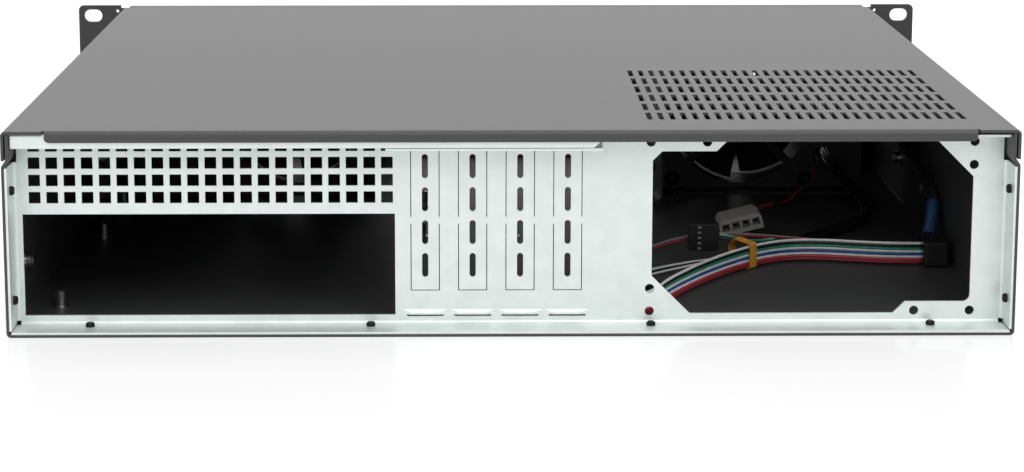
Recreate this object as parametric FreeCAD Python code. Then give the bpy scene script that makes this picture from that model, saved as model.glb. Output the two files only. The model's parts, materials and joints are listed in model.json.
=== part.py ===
import FreeCAD, Part
import math
import os

# Empty 2U rackmount server case: folded steel tray, screwed cover, zinc-plated rear panel, front
# panel with rack ears, drive cage, two fans and the front leads that lie loose in the supply bay.
# X runs across the rack, the front panel faces -Y, the rear panel faces +Y, Z is up.
# The origin is the bottom centre of the whole case. Millimetres.

os.makedirs("parts", exist_ok=True)
V = FreeCAD.Vector

# Overall sizes
rack_width = 482.6
rack_unit = 44.45
rack_units = 2
body_width = 428.0
body_depth = 390.0
handle_reach = 35.0
case_height = rack_units * rack_unit

# Sheet thicknesses and bends
tray_sheet = 1.2
cover_sheet = 1.2
rear_sheet = 1.0
panel_sheet = 2.0
inner_sheet = 1.0
sheet_bend = 0.8
rear_bend = 1.5

# Clearances, and how far a cutting tool runs past a face
slip = 0.1
sheet_gap = 0.5
cover_rest_gap = 0.3
past = 1.0

# Planes that several pieces share
rear_y = (body_depth + panel_sheet + handle_reach) / 2
panel_back_y = rear_y - body_depth
panel_front_y = panel_back_y - panel_sheet
side_x = body_width / 2
wall_inner_x = side_x - tray_sheet
floor_top = tray_sheet
cover_under = case_height - cover_sheet

# Upper part of the side walls, set in so that the cover's skirts lie flush
joggle_step = 1.9
joggle_low = 73.9
joggle_rise = 2.8
upper_outer_x = side_x - joggle_step
upper_inner_x = upper_outer_x - tray_sheet
wall_top = cover_under - cover_rest_gap
skirt_low = joggle_low + joggle_rise - cover_rest_gap

# Screws and rivets
m3_radius = 1.5
m4_radius = 2.0
thread_fit = 0.05
screw_point = 0.4
pan_top_share = 0.6
pan_side_share = 0.4
recess_reach_share = 0.55
recess_width_share = 0.14
recess_depth_share = 0.55
rivet_radius = 1.6
rivet_head_radius = 2.7
rivet_head_depth = 0.8
rivet_bulb_radius = 1.95
rivet_bulb_height = 1.8
rivet_bulb_taper = 0.7
mandrel_radius = 0.7
mandrel_depth = 0.8
bottom_rivet_depth = 10.0
bottom_rivet_x = (60.0, 180.0)
side_rivet_depth = 7.0
side_rivet_heights = (14.6, 62.3)

# Rear panel
rear_recess = 14.4
flange_setback = 0.2
lip_setback = 1.3
lip_drop = 6.3
corner_slit = 0.5
notch_inset = 3.9
rear_face_y = rear_y - rear_recess
rear_back_y = rear_face_y - rear_sheet
rear_upper_x = side_x - notch_inset
rear_flange_top = joggle_low - sheet_bend
plain_flange_drop = 1.3
plain_flange_setback = 2.5
lip_past_slot = 15.4

# Board input and output aperture
io_width = 158.75
io_height = 44.45
io_margin = 5.7
io_low = 5.9
io_high_x = side_x - io_margin
io_low_x = io_high_x - io_width
io_top = io_low + io_height

# Square vents over the aperture
vent_size = 5.0
vent_pitch = 7.5
vent_columns = 21
vent_rows = 4
vent_margin = 8.65
vent_rise = 4.75

# Card slots
slot_pitch = 20.32
slot_offset = 12.85
knockout_width = 12.5
knockout_low = 16.5
knockout_cut = 0.4
knockout_bridge = 3.0
bridge_height = 47.3
oval_count = 4
oval_width = 2.63
oval_length = 10.5
oval_pitch = 14.4
oval_top = 76.2
pocket_width = 18.8
pocket_flat = 11.0
pocket_slit = 15.7
pocket_low = 5.2
pocket_gap = 0.9
pocket_high = 8.2
pocket_bulge = 1.0
ledge_top = 81.0
ledge_leg = 5.0
ledge_setback = 2.0
ledge_over = 16.4
ledge_under = 14.2
ledge_slit = 0.25
card_screw_offset = 7.3
card_screw_setback = 6.0

# Power supply opening
supply_margin = 16.4
supply_hole_low = 7.2
supply_hole_radius = 2.0
supply_across = 138.0
supply_tall = 74.0
supply_shift = 24.0
supply_drop = 10.0
supply_window_low = -1.05
supply_window_high = 76.8
supply_window_near = 0.8
supply_window_far = 0.1
supply_screw_land = 4.0
supply_low_cut = 16.6
supply_near_cut = 4.0
supply_far_cut = 18.0
supply_corner_radius = 3.0

# Cover
cover_lip_low = 84.1
cover_lip_inset = 18.3
cover_lip_radius = 2.0
cover_lip_relief = 2.0
cover_lip_flat = 4.0
cover_vent_columns = 28
cover_vent_rows = 6
cover_vent_pitch = 5.0
cover_vent_step = 22.5
cover_vent_width = 2.3
cover_vent_length = 16.0
cover_vent_margin = 17.8
cover_vent_depth = 25.8
cover_screw_height = 82.4
cover_screw_depths = (24.0, 190.0)
cover_screw_head = 2.9
cover_screw_sink = 1.1
cover_screw_length = 6.0

# Front panel
panel_low = 0.4
panel_allowance = 0.8
panel_corner = 2.8
panel_bend = 1.0
panel_flange = 12.0
panel_relief = 3.0
panel_relief_depth = 1.6
ear_hole_inset = 8.3
ear_slot_width = 10.3
ear_slot_height = 7.2
ear_hole_rise = 76.2
ear_tooling_radius = 0.9
ear_tooling_outset = 5.0
ear_tooling_drop = 3.3
panel_high = panel_low + case_height - panel_allowance
front_flange = 10.0
front_flange_low = 10.0
front_flange_high = 70.0
front_lip_rise = 9.0
front_setback = 3.0
panel_screw_inset = 5.5
panel_screw_heights = (18.0, 62.0)
panel_screw_head = 2.9
panel_screw_length = 6.0
panel_screw_sink = 1.6
grille_width = 3.2
grille_height = 20.0
grille_pitch = 5.6
grille_step = 23.5
grille_rows = 3
fan_grille_columns = 14
cage_grille_columns = 23

# Handles
handle_radius = 4.0
handle_outset = 7.6
handle_spacing = 55.0
handle_bend = 9.0
handle_screw_length = 8.0
handle_screw_head = 4.0
handle_screw_rise = 2.8
handle_thread = 8.0

# Board standoffs, as a micro-ATX board needs them
standoff_radius = 2.4
standoff_height = 7.5
standoff_chamfer = 0.5
standoff_foot_radius = 3.6
standoff_foot = 0.5
standoff_thread = 1.4
standoff_floor = 1.0
standoff_inset = 9.8
standoff_rear = 24.1
board_x_second = 157.48
board_x_fourth = 203.2
board_y_second = 22.86
board_y_third = 154.94
board_y_fourth = 227.33

# Threaded inserts for slide rails
insert_radius = 3.2
insert_length = 5.0
insert_head = 4.6
insert_rim = 1.0
insert_height = 24.2
insert_depths = (39.0, 187.2, 262.5)

# Drive cage
cage_offset = -9.0
cage_width = 150.0
cage_depth = 264.0
cage_length = 110.0
cage_height = 76.8
cage_foot = 12.0
cage_wing = 19.0
cage_wing_width = 30.0
cage_wing_low = 2.6
cage_wing_bend = 3.0
drive_slot_width = 4.0
drive_slot_length = 12.0
drive_slot_depths = (284.0, 319.0, 354.0)
drive_slot_heights = (14.0, 40.0, 66.0)
cage_rivet_inset = 12.0
partition_rivet_offset = 30.0

# Fans and the partitions that carry them
fan_size = 80.0
fan_depth = 25.0
fan_hole_spacing = 71.5
fan_bore_radius = 37.8
fan_hub_radius = 18.0
fan_blade_gap = 1.0
fan_blades = 7
fan_motor_radius = 15.0
fan_shaft_radius = 1.5
fan_screw_radius = 2.2
fan_floor_gap = 2.0
fan_from_cage = 5.5
fan_corner_radius = 4.0
fan_seat = 4.0
fan_arm = 4.0
fan_arms = 4
fan_arm_overlap = 0.6
fan_bearing_radius = 4.0
fan_bearing_length = 18.0
fan_shaft_gap = 0.08
fan_shaft_floor = 2.4
fan_hub_wall = 1.4
fan_blade_sheet = 1.6
fan_blade_fill = 0.92
fan_blade_root = 0.8
fan_blade_waist = 0.7
fan_blade_pitches = (50.0, 40.0, 32.0)
fan_channel_low = 14.5
fan_channel_high = 19.5
fan_channel_inset = 9.0
fan_channel_length = 20.0
fan_screw_length = 10.0
fan_screw_head = 3.9
fan_screw_rise = 2.4
partition_sheet = 1.2
partition_depth = 288.0
partition_side_gap = 16.8
partition_foot = 11.0
partition_height = 83.5
lead_hole_radius = 5.5
lead_hole_offset = 45.5
lead_hole_height = 19.0

# Cross rail under the front edge of the cover
rail_depth = 354.0
rail_width = 23.0
rail_leg = 7.0
rail_tab = 9.5
rail_tab_lap = 4.0
rail_tab_width = 16.0

# Front controls
control_inset = 23.5
board_width = 20.0
board_low = 5.5
board_high = 76.0
board_sheet = 1.6
board_gap = 10.0
spacer_radius = 2.5
spacer_floor = 2.0
board_screw_reach = 5.0
spacer_heights = (13.0, 72.5)
power_height = 62.0
power_radius = 4.8
reset_height = 50.0
reset_radius = 2.4
button_gap = 0.2
button_flange = 1.2
button_flange_sheet = 1.5
button_proud = 2.0
button_travel = 1.5
stem_radius = 1.6
switch_size = 6.0
switch_height = 3.5
light_heights = (34.0, 38.5, 43.0)
light_radius = 1.5
light_proud = 0.5
light_rounding = 0.9
port_width = 5.7
port_height = 13.1
port_middle = 24.0
port_spacing = 9.5
port_shell = 0.4
port_tongue = 1.9
port_tongue_setback = 1.0
port_depth = 10.0
socket_width = 13.0
socket_length = 8.0
socket_height = 7.0
socket_heights = (50.0, 30.0)
plunger_radius = 0.8
plunger_gap = 0.2
stem_gap = 0.3

# Leads and what is on them
ribbon_thickness = 1.4
ribbon_width = 10.4
ribbon_low = 2.0
ribbon_plug_size = (12.0, 3.8, 10.4)
plug_chamfer = 0.3
black_plug_size = (14.0, 7.6, 7.2)
switch_plug_size = (14.0, 2.5, 5.1)
white_plug_size = (14.0, 2.5, 3.9)
header_size = (14.2, 5.1, 12.7)
header_pins = 5
header_pitch = 2.54
header_window = 1.6
header_window_height = 1.0
header_window_place = 8.5
header_window_depth = 0.4
power_size = (20.0, 21.5, 8.0)
power_pins = 4
power_pitch = 5.08
power_opening = 3.8
power_opening_depth = 12.0
power_chamfer = 2.0
power_tilt = 14.0
clip_along = (197.5, 209.0)
clip_depth = (113.0, 132.2)
clip_low = 1.4
clip_high = 13.0
clip_round = 1.0
wrap_sheet = 0.4
wrap_low = 11.0
wrap_high = 26.0
tie_direction = (0.695, 0.719)
tie_centre = (111.5, 116.5, 0.0)
tie_loop = ((-6.4, 1.85), (-6.4, 12.9), (3.0, 14.4), (6.0, 10.4), (3.4, 1.85))
tie_bend = 0.9
tie_sheet = 0.5
tie_width = 5.0
lead_run_share = 0.45


# ---------------------------------------------------------------- building blocks
planes = {
    "XZ": (V(1, 0, 0), V(0, 0, 1)),
    "YZ": (V(0, 1, 0), V(0, 0, 1)),
    "XY": (V(1, 0, 0), V(0, 1, 0)),
}


def block(x_range, y_range, z_range):
    corner = V(min(x_range), min(y_range), min(z_range))
    size = [abs(pair[1] - pair[0]) for pair in (x_range, y_range, z_range)]
    return Part.makeBox(size[0], size[1], size[2], corner)


def rod(radius, start, direction, length):
    return Part.makeCylinder(radius, length, start, direction)


def rounded_edges(points, radii, up=None, offset=0.0):
    """Edges of a line with rounded corners, moved to its left by an offset."""
    steps = [(b - a).normalize() for a, b in zip(points, points[1:])]
    sides = [up.cross(step) if up else V(0, 0, 0) for step in steps]
    corners = [points[0] + sides[0] * offset]
    for index in range(1, len(steps)):
        share = offset / (1 + sides[index - 1].dot(sides[index])) if up else 0
        corners.append(points[index] + (sides[index - 1] + sides[index]) * share)
    corners.append(points[-1] + sides[-1] * offset)
    edges = []
    here = corners[0]
    for index in range(1, len(steps)):
        before = steps[index - 1]
        after = steps[index]
        turn = before.getAngle(after)
        leftward = up is not None and up.dot(before.cross(after)) > 0
        radius = radii[index - 1] - offset if leftward else radii[index - 1] + offset
        reach = radius * math.tan(turn / 2)
        start = corners[index] - before * reach
        end = corners[index] + after * reach
        inward = (after - before).normalize()
        middle = corners[index] + inward * (radius / math.cos(turn / 2) - radius)
        edges.append(Part.LineSegment(here, start).toShape())
        edges.append(Part.Arc(start, middle, end).toShape())
        here = end
    edges.append(Part.LineSegment(here, corners[-1]).toShape())
    return edges


def band(points, plane, radii, low, high, start, end):
    """Prism of the band between two offsets of a line that is drawn in a plane."""
    across, along = planes[plane]
    up = across.cross(along)
    normal = V(abs(up.x), abs(up.y), abs(up.z))
    spots = [across * u + along * v + normal * start for u, v in points]
    edges = rounded_edges(spots, radii, up, low) + rounded_edges(spots, radii, up, high)
    first = [edge.Vertexes[0].Point for edge in (edges[0], edges[len(edges) // 2])]
    last = [edge.Vertexes[-1].Point for edge in (edges[len(edges) // 2 - 1], edges[-1])]
    edges.append(Part.LineSegment(first[0], first[1]).toShape())
    edges.append(Part.LineSegment(last[0], last[1]).toShape())
    wire = Part.Wire(Part.__sortEdges__(edges))
    return Part.Face(wire).extrude(normal * (end - start))


def folded_sheet(points, plane, sheet, inside_radius, start, end):
    """Sheet folded along a line, with its thickness on the left of the line."""
    radii = []
    for a, b, c in zip(points, points[1:], points[2:]):
        turn = (b[0] - a[0]) * (c[1] - b[1]) - (b[1] - a[1]) * (c[0] - b[0])
        radii.append(inside_radius + sheet if turn > 0 else inside_radius)
    return band(points, plane, radii, 0.0, sheet, start, end)


def oval(centre, half_along, radius, direction, depth):
    """Round-ended tool: half_along reaches to the centre of each end."""
    sides = half_along.cross(direction).normalize() * radius
    ends = half_along + V(half_along).normalize() * radius
    corners = [centre - half_along - sides, centre + half_along - sides]
    corners += [centre + half_along + sides, centre - half_along + sides]
    edges = [
        Part.LineSegment(corners[0], corners[1]).toShape(),
        Part.Arc(corners[1], centre + ends, corners[2]).toShape(),
        Part.LineSegment(corners[2], corners[3]).toShape(),
        Part.Arc(corners[3], centre - ends, corners[0]).toShape(),
    ]
    return Part.Face(Part.Wire(edges)).extrude(direction * depth)


def turned(profile, position, axis):
    """Solid of revolution from (radius, height) points, set on a position along an axis."""
    spots = [V(radius, 0, height) for radius, height in profile]
    spots.append(spots[0])
    face = Part.Face(Part.makePolygon(spots))
    shape = face.revolve(V(0, 0, 0), V(0, 0, 1), 360)
    return set_on(shape, position, axis)


def set_on(shape, position, axis):
    moved = shape.copy()
    moved.Placement = FreeCAD.Placement(position, FreeCAD.Rotation(V(0, 0, 1), axis))
    return moved


def joined(shapes):
    return shapes[0].multiFuse(shapes[1:]).removeSplitter()


def group(shapes):
    solids = []
    for shape in shapes:
        solids.extend(shape.Solids)
    return Part.makeCompound(solids)


def export(name, shape):
    count = len(shape.Solids)
    print(name, count, "solid" if count == 1 else "solids", round(shape.Volume), shape.isValid())
    shape.exportStep("parts/" + name + ".step")


# ---------------------------------------------------------------- fasteners
def rivet(position, inward, grip):
    """Flush rivet set from outside, with the swelled end inside."""
    profile = [
        (mandrel_radius, mandrel_depth),
        (mandrel_radius, 0),
        (rivet_head_radius, 0),
        (rivet_radius, rivet_head_depth),
        (rivet_radius, grip),
        (rivet_bulb_radius, grip),
        (rivet_bulb_radius, grip + rivet_bulb_height * rivet_bulb_taper),
        (rivet_bulb_radius * rivet_bulb_taper, grip + rivet_bulb_height),
        (0, grip + rivet_bulb_height),
        (0, mandrel_depth),
    ]
    return turned(profile, position, inward)


def rivet_hole(position, inward, grip):
    """Tool for a countersunk hole through the whole grip."""
    wide = rivet_head_radius + slip
    narrow = rivet_radius + slip
    return turned(sunk_profile(wide, rivet_head_depth, narrow, grip), position, inward)


def sunk_profile(wide, sink, narrow, grip):
    """Half section of the tool for a countersunk hole."""
    end = grip + past
    return [(0, -past), (wide, -past), (wide, 0), (narrow, sink), (narrow, end), (0, end)]


def screw(position, inward, radius, length, head_radius, head_height):
    """Pan-head screw with a cross recess; its head bears on the position."""
    profile = [
        (0, -head_height),
        (head_radius * pan_top_share, -head_height),
        (head_radius, -head_height * pan_side_share),
        (head_radius, 0),
        (radius - thread_fit, 0),
        (radius - thread_fit, length - screw_point),
        (radius - thread_fit - screw_point, length),
        (0, length),
    ]
    shape = turned(profile, V(0, 0, 0), V(0, 0, 1))
    return set_on(shape.cut(cross_recess(head_radius, -head_height, head_height)), position, inward)


def cross_recess(head_radius, top, head_height):
    """Tools for the crossed slots in a screw's head."""
    reach = head_radius * recess_reach_share
    blade = head_radius * recess_width_share
    deep = (top - past, top + head_height * recess_depth_share)
    return [block((-reach, reach), (-blade, blade), deep), block((-blade, blade), (-reach, reach), deep)]


def countersunk_screw(position, inward, radius, length, head_radius, head_depth):
    """Flat-head screw with a cross recess; its head is flush with the position."""
    profile = [
        (0, 0),
        (head_radius, 0),
        (radius - thread_fit, head_depth),
        (radius - thread_fit, length),
        (0, length),
    ]
    shape = turned(profile, V(0, 0, 0), V(0, 0, 1))
    return set_on(shape.cut(cross_recess(head_radius, 0, head_depth)), position, inward)


def both_sides(shape):
    """The shape and its mirror image across the middle of the case."""
    return [shape, shape.mirror(V(0, 0, 0), V(1, 0, 0))]


def mirrored(points):
    """A line's mirror image, run the other way so that the sheet stays on its left."""
    return [(-u, v) for u, v in reversed(points)]


def bend_radii(points):
    """Radius of the largest arc that each corner's two runs allow."""
    radii = []
    for a, b, c in zip(points, points[1:], points[2:]):
        turn = (b - a).getAngle(c - b)
        radii.append(lead_run_share * min((b - a).Length, (c - b).Length) / math.tan(turn / 2))
    return radii


def tube_along(edges, section):
    """Round or flat section, given as a wire at the start of the edges, swept along them."""
    return Part.Wire(edges).makePipeShell([section], True, False)


def ring(radius, position, direction):
    return Part.Wire(Part.Circle(position, direction, radius).toShape())


# ---------------------------------------------------------------- shared places
x_axis = V(1, 0, 0)
y_axis = V(0, 1, 0)
z_axis = V(0, 0, 1)
sides = (-1, 1)
bottom_rivets = [(x * side, rear_y - bottom_rivet_depth) for x in bottom_rivet_x for side in sides]
control_x = -(side_x - control_inset)
handle_x = side_x + handle_outset
ear_hole_x = rack_width / 2 - ear_hole_inset
supply_x = -(side_x - supply_margin) + supply_across
supply_holes = [
    (supply_x, supply_hole_low),
    (supply_x, supply_hole_low + supply_drop),
    (supply_x, supply_hole_low + supply_tall),
    (supply_x - supply_shift, supply_hole_low + supply_tall),
    (supply_x - supply_across + supply_shift, supply_hole_low),
    (supply_x - supply_across, supply_hole_low),
    (supply_x - supply_across, supply_hole_low + supply_tall - supply_drop),
    (supply_x - supply_across, supply_hole_low + supply_tall),
]
slot_count = int((io_low_x - slot_offset - supply_x) / slot_pitch)
slot_centres = [io_low_x - slot_offset - slot_pitch * index for index in range(slot_count)]
lip_low_x = slot_centres[-1] - lip_past_slot
ledge_low_x = slot_centres[-1] - ledge_under
ledge_high_x = slot_centres[0] + ledge_over
standoff_side = io_high_x - standoff_inset
standoffs = [(0, board_y_second), (board_x_second, 0), (board_x_fourth, 0)]
for across in (0, board_x_second, board_x_fourth):
    standoffs += [(across, board_y_third), (across, board_y_fourth)]
standoffs = [(standoff_side - across, rear_y - standoff_rear - inward) for across, inward in standoffs]
inserts = [rear_y - depth for depth in insert_depths]
rail_y = rear_y - rail_depth - rail_width / 2
cover_screw_rows = [rear_y - depth for depth in cover_screw_depths] + [rail_y]
panel_screw_x = wall_inner_x - panel_screw_inset
panel_screws = [(panel_screw_x * side, z) for side in sides for z in panel_screw_heights]
cage_left_x = cage_offset - cage_width / 2
cage_high_x = cage_offset + cage_width / 2
fan_left_x = cage_high_x + fan_from_cage + fan_size / 2
fan_right_x = cage_left_x - fan_from_cage - fan_size / 2
fan_z = floor_top + fan_floor_gap + fan_size / 2
partition_y = rear_y - partition_depth
fan_back_y = partition_y - partition_sheet
fan_front_y = fan_back_y - fan_depth
cage_back_y = rear_y - cage_depth
cage_front_y = cage_back_y - cage_length
ear_hole_heights = [(panel_low + panel_high) / 2 + side * ear_hole_rise / 2 for side in sides]
drive_slot_rows = [rear_y - depth for depth in drive_slot_depths]
cage_rivets = []
for foot_x in (cage_left_x - (cage_foot + inner_sheet) / 2, cage_high_x + (cage_foot + inner_sheet) / 2):
    cage_rivets.append((foot_x, cage_back_y - cage_rivet_inset / 2))
    cage_rivets.append((foot_x, cage_front_y + cage_rivet_inset))
partition_rivets = []
for fan_x in (fan_left_x, fan_right_x):
    for side in sides:
        partition_rivets.append((fan_x + side * partition_rivet_offset, partition_y + partition_foot / 2))
frame_rivets = cage_rivets + partition_rivets
board_back_y = panel_back_y + board_gap + board_sheet
port_centres = [control_x + side * port_spacing / 2 for side in sides]


# ---------------------------------------------------------------- tray
def make_base_tray():
    walls = [
        (-upper_outer_x, wall_top),
        (-upper_outer_x, joggle_low + joggle_rise),
        (-side_x, joggle_low),
        (-side_x, 0),
        (side_x, 0),
        (side_x, joggle_low),
        (upper_outer_x, joggle_low + joggle_rise),
        (upper_outer_x, wall_top),
    ]
    wall_front_y = panel_back_y + front_setback
    pieces = [folded_sheet(walls, "XZ", tray_sheet, sheet_bend, wall_front_y, rear_y)]
    corner_y = wall_front_y + front_setback
    flange = [(wall_inner_x - front_flange, panel_back_y), (side_x, panel_back_y), (side_x, corner_y)]
    for line in (flange, mirrored(flange)):
        pieces.append(folded_sheet(line, "XY", tray_sheet, sheet_bend, front_flange_low, front_flange_high))
    lip = [(panel_back_y, front_lip_rise), (panel_back_y, 0), (corner_y, 0)]
    lip_half = wall_inner_x - tray_sheet * 2
    pieces.append(folded_sheet(lip, "YZ", tray_sheet, sheet_bend, -lip_half, lip_half))
    tray = joined(pieces)
    flange_end_y = panel_back_y + panel_flange + sheet_gap
    flange_under = panel_high - panel_sheet - cover_rest_gap
    tools = [block((-side_x, side_x), (wall_front_y - past, flange_end_y), (flange_under, case_height))]
    for x, y in bottom_rivets:
        tools.append(rivet_hole(V(x, y, 0), z_axis, tray_sheet + rear_sheet))
    for x, y in frame_rivets:
        tools.append(rivet_hole(V(x, y, 0), z_axis, tray_sheet + inner_sheet))
    for x, y in standoffs:
        tools.append(rod(m3_radius + slip, V(x, y, -past), z_axis, floor_top + past * 2))
    for x, z in panel_screws:
        tools.append(rod(m3_radius, V(x, panel_back_y - past, z), y_axis, tray_sheet + past * 2))
    for side in sides:
        for z in side_rivet_heights:
            start = V(side * side_x, rear_y - side_rivet_depth, z)
            tools.append(rivet_hole(start, x_axis * -side, tray_sheet + rear_sheet))
        for y in inserts:
            start = V(side * (side_x + past), y, insert_height)
            tools.append(rod(insert_radius, start, x_axis * -side, tray_sheet + past * 2))
        for y in cover_screw_rows:
            start = V(side * side_x, y, cover_screw_height)
            tools.append(rod(m3_radius, start, x_axis * -side, side_x - upper_inner_x + past))
    return tray.cut(tools)


# ---------------------------------------------------------------- rear panel
def make_rear_panel():
    bent = sheet_bend + rear_sheet
    foot_bend = rear_bend + rear_sheet
    foot = [(rear_back_y, floor_top), (rear_y - flange_setback, floor_top)]
    lip_y = rear_y - lip_setback
    lipped = [(lip_y, cover_under - lip_drop), (lip_y, cover_under), (rear_back_y, cover_under)] + foot
    plain_top = cover_under - plain_flange_drop
    plain = [(rear_y - plain_flange_setback, plain_top), (rear_back_y, plain_top)] + foot
    pieces = [
        band(lipped, "YZ", [bent, bent, foot_bend], 0.0, rear_sheet, lip_low_x, rear_upper_x),
        band(plain, "YZ", [bent, foot_bend], 0.0, rear_sheet, -rear_upper_x, lip_low_x),
    ]
    flat_y = rear_back_y + foot_bend
    edge_y = rear_y - flange_setback
    floor_reach = wall_inner_x - sheet_bend
    side_low = floor_top + rear_sheet + corner_slit
    flange = [(rear_upper_x - foot_bend, rear_back_y), (wall_inner_x, rear_back_y), (wall_inner_x, edge_y)]
    for line in (flange, mirrored(flange)):
        low = floor_top + foot_bend
        pieces.append(band(line, "XY", [foot_bend], 0.0, rear_sheet, low, rear_flange_top))
    ends = block((rear_upper_x, floor_reach), (flat_y, edge_y), (floor_top, floor_top + rear_sheet))
    tall = (side_low, floor_top + foot_bend)
    lower = block((wall_inner_x - rear_sheet, wall_inner_x), (flat_y, edge_y), tall)
    pieces += both_sides(ends) + both_sides(lower)
    panel = joined(pieces)

    depth = (rear_back_y - past, rear_face_y + past)
    tools = [block((io_low_x, io_high_x), depth, (io_low, io_top))]
    for column in range(vent_columns):
        for row in range(vent_rows):
            high_x = side_x - vent_margin - vent_pitch * column
            low_z = io_top + vent_rise + vent_pitch * row
            tools.append(block((high_x - vent_size, high_x), depth, (low_z, low_z + vent_size)))
    for centre in slot_centres:
        tools += slot_tools(centre)
    tools.append(supply_window())
    for x, z in supply_holes:
        tools.append(rod(supply_hole_radius, V(x, rear_back_y - past, z), y_axis, rear_sheet + past * 2))
    shelf = (ledge_top - rear_sheet - ledge_slit, ledge_top + sheet_bend + ledge_slit)
    tools.append(block((ledge_low_x - slip, ledge_high_x + slip), depth, shelf))
    tools.append(lip_slant())
    for x, y in bottom_rivets:
        tools.append(rivet_hole(V(x, y, 0), z_axis, tray_sheet + rear_sheet))
    for side in sides:
        for z in side_rivet_heights:
            start = V(side * side_x, rear_y - side_rivet_depth, z)
            tools.append(rivet_hole(start, x_axis * -side, tray_sheet + rear_sheet))
    panel = panel.cut(tools)
    panel = joined([panel] + [pocket(centre) for centre in slot_centres])
    return panel.cut([pocket(centre, -rear_sheet) for centre in slot_centres])


def slot_tools(centre):
    """Cut line and ovals of one knock-out, and the slit that takes a bracket's tongue."""
    depth = (rear_back_y - past, rear_face_y + past)
    half = knockout_width / 2
    knockout_high = ledge_top - rear_sheet
    bridge_low = bridge_height - knockout_bridge / 2
    bridge_high = bridge_height + knockout_bridge / 2
    tools = [block((centre - half, centre + half), depth, (knockout_low, knockout_low + knockout_cut))]
    for side in sides:
        line = (centre + side * half, centre + side * (half - knockout_cut))
        tools.append(block(line, depth, (knockout_low, bridge_low)))
        tools.append(block(line, depth, (bridge_high, knockout_high)))
    for index in range(oval_count):
        middle = V(centre, rear_back_y - past, oval_top - oval_length / 2 - oval_pitch * index)
        reach = z_axis * (oval_length / 2 - oval_width / 2)
        tools.append(oval(middle, reach, oval_width / 2, y_axis, rear_sheet + past * 2))
    slit = (centre - pocket_slit / 2, centre + pocket_slit / 2)
    tools.append(block(slit, depth, (pocket_low, pocket_low + pocket_gap)))
    return tools


def pocket(centre, shift=0.0):
    """Pressed louvre above a tongue slit: it stands out and slants back at its top and ends."""
    low = pocket_low + pocket_gap
    wires = []
    root = (pocket_width / 2, pocket_high, 0.0)
    crest = (pocket_flat / 2, low + pocket_gap, pocket_bulge)
    for half, high, y in (root, crest):
        corners = [(-half, low), (half, low), (half, high), (-half, high), (-half, low)]
        wires.append(Part.makePolygon([V(centre + u, rear_face_y + y + shift, v) for u, v in corners]))
    return Part.makeLoft(wires, True, True)


def supply_window():
    """Opening behind a power supply: it steps in at the corners that carry the screws."""
    near = supply_window_near
    far = supply_across - supply_window_far
    shelf = supply_tall - supply_screw_land
    near_end = supply_shift + supply_screw_land
    far_end = supply_across - supply_shift - supply_screw_land
    outline = [
        (near, supply_window_low + supply_low_cut),
        (near, shelf - supply_near_cut),
        (near + supply_near_cut, shelf),
        (near_end, shelf),
        (near_end + supply_window_high - shelf, supply_window_high),
        (far - supply_far_cut, supply_window_high),
        (far, supply_window_high - supply_far_cut),
        (far, supply_screw_land),
        (far_end, supply_screw_land),
        (far_end - supply_screw_land + supply_window_low, supply_window_low),
        (near + supply_low_cut, supply_window_low),
    ]
    spots = [V(supply_x - u, rear_back_y - past, supply_hole_low + v) for u, v in outline]
    window = Part.Face(Part.makePolygon(spots + spots[:1])).extrude(y_axis * (rear_sheet + past * 2))
    corner = V(supply_x - far, 0, supply_hole_low + supply_screw_land)
    edges = [edge for edge in window.Edges if edge.Length > rear_sheet and on_line(edge, corner)]
    return window.makeFillet(supply_corner_radius, edges)


def on_line(edge, corner):
    """Whether an edge runs along Y through a place in the panel's face."""
    ends = [vertex.Point for vertex in edge.Vertexes]
    return all(abs(end.x - corner.x) + abs(end.z - corner.z) < 0.01 for end in ends)


def lip_slant():
    """Tool that slants the end of the return lip beside the card slots."""
    low = cover_under - lip_drop - past
    high = cover_under - rear_sheet
    start = V(lip_low_x - past, rear_y - lip_setback - rear_sheet - past, 0)
    outline = [start + z_axis * low, start + V(lip_drop + past, 0, low), start + z_axis * high]
    return Part.Face(Part.makePolygon(outline + outline[:1])).extrude(y_axis * (rear_sheet + past * 2))


def make_card_ledge():
    """Angle that card brackets screw down to: its shelf comes out of the slit under the lip."""
    leg_y = rear_back_y - rear_sheet
    shelf_low = ledge_top - rear_sheet
    line = [(leg_y, ledge_top + ledge_leg), (leg_y, shelf_low), (rear_y - ledge_setback, shelf_low)]
    shelf = folded_sheet(line, "YZ", rear_sheet, sheet_bend, ledge_low_x, ledge_high_x)
    tools = []
    for centre in slot_centres:
        spot = V(centre + card_screw_offset, rear_y - card_screw_setback, shelf_low - past)
        tools.append(rod(m3_radius, spot, z_axis, rear_sheet + past * 2))
    return shelf.cut(tools)


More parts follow.
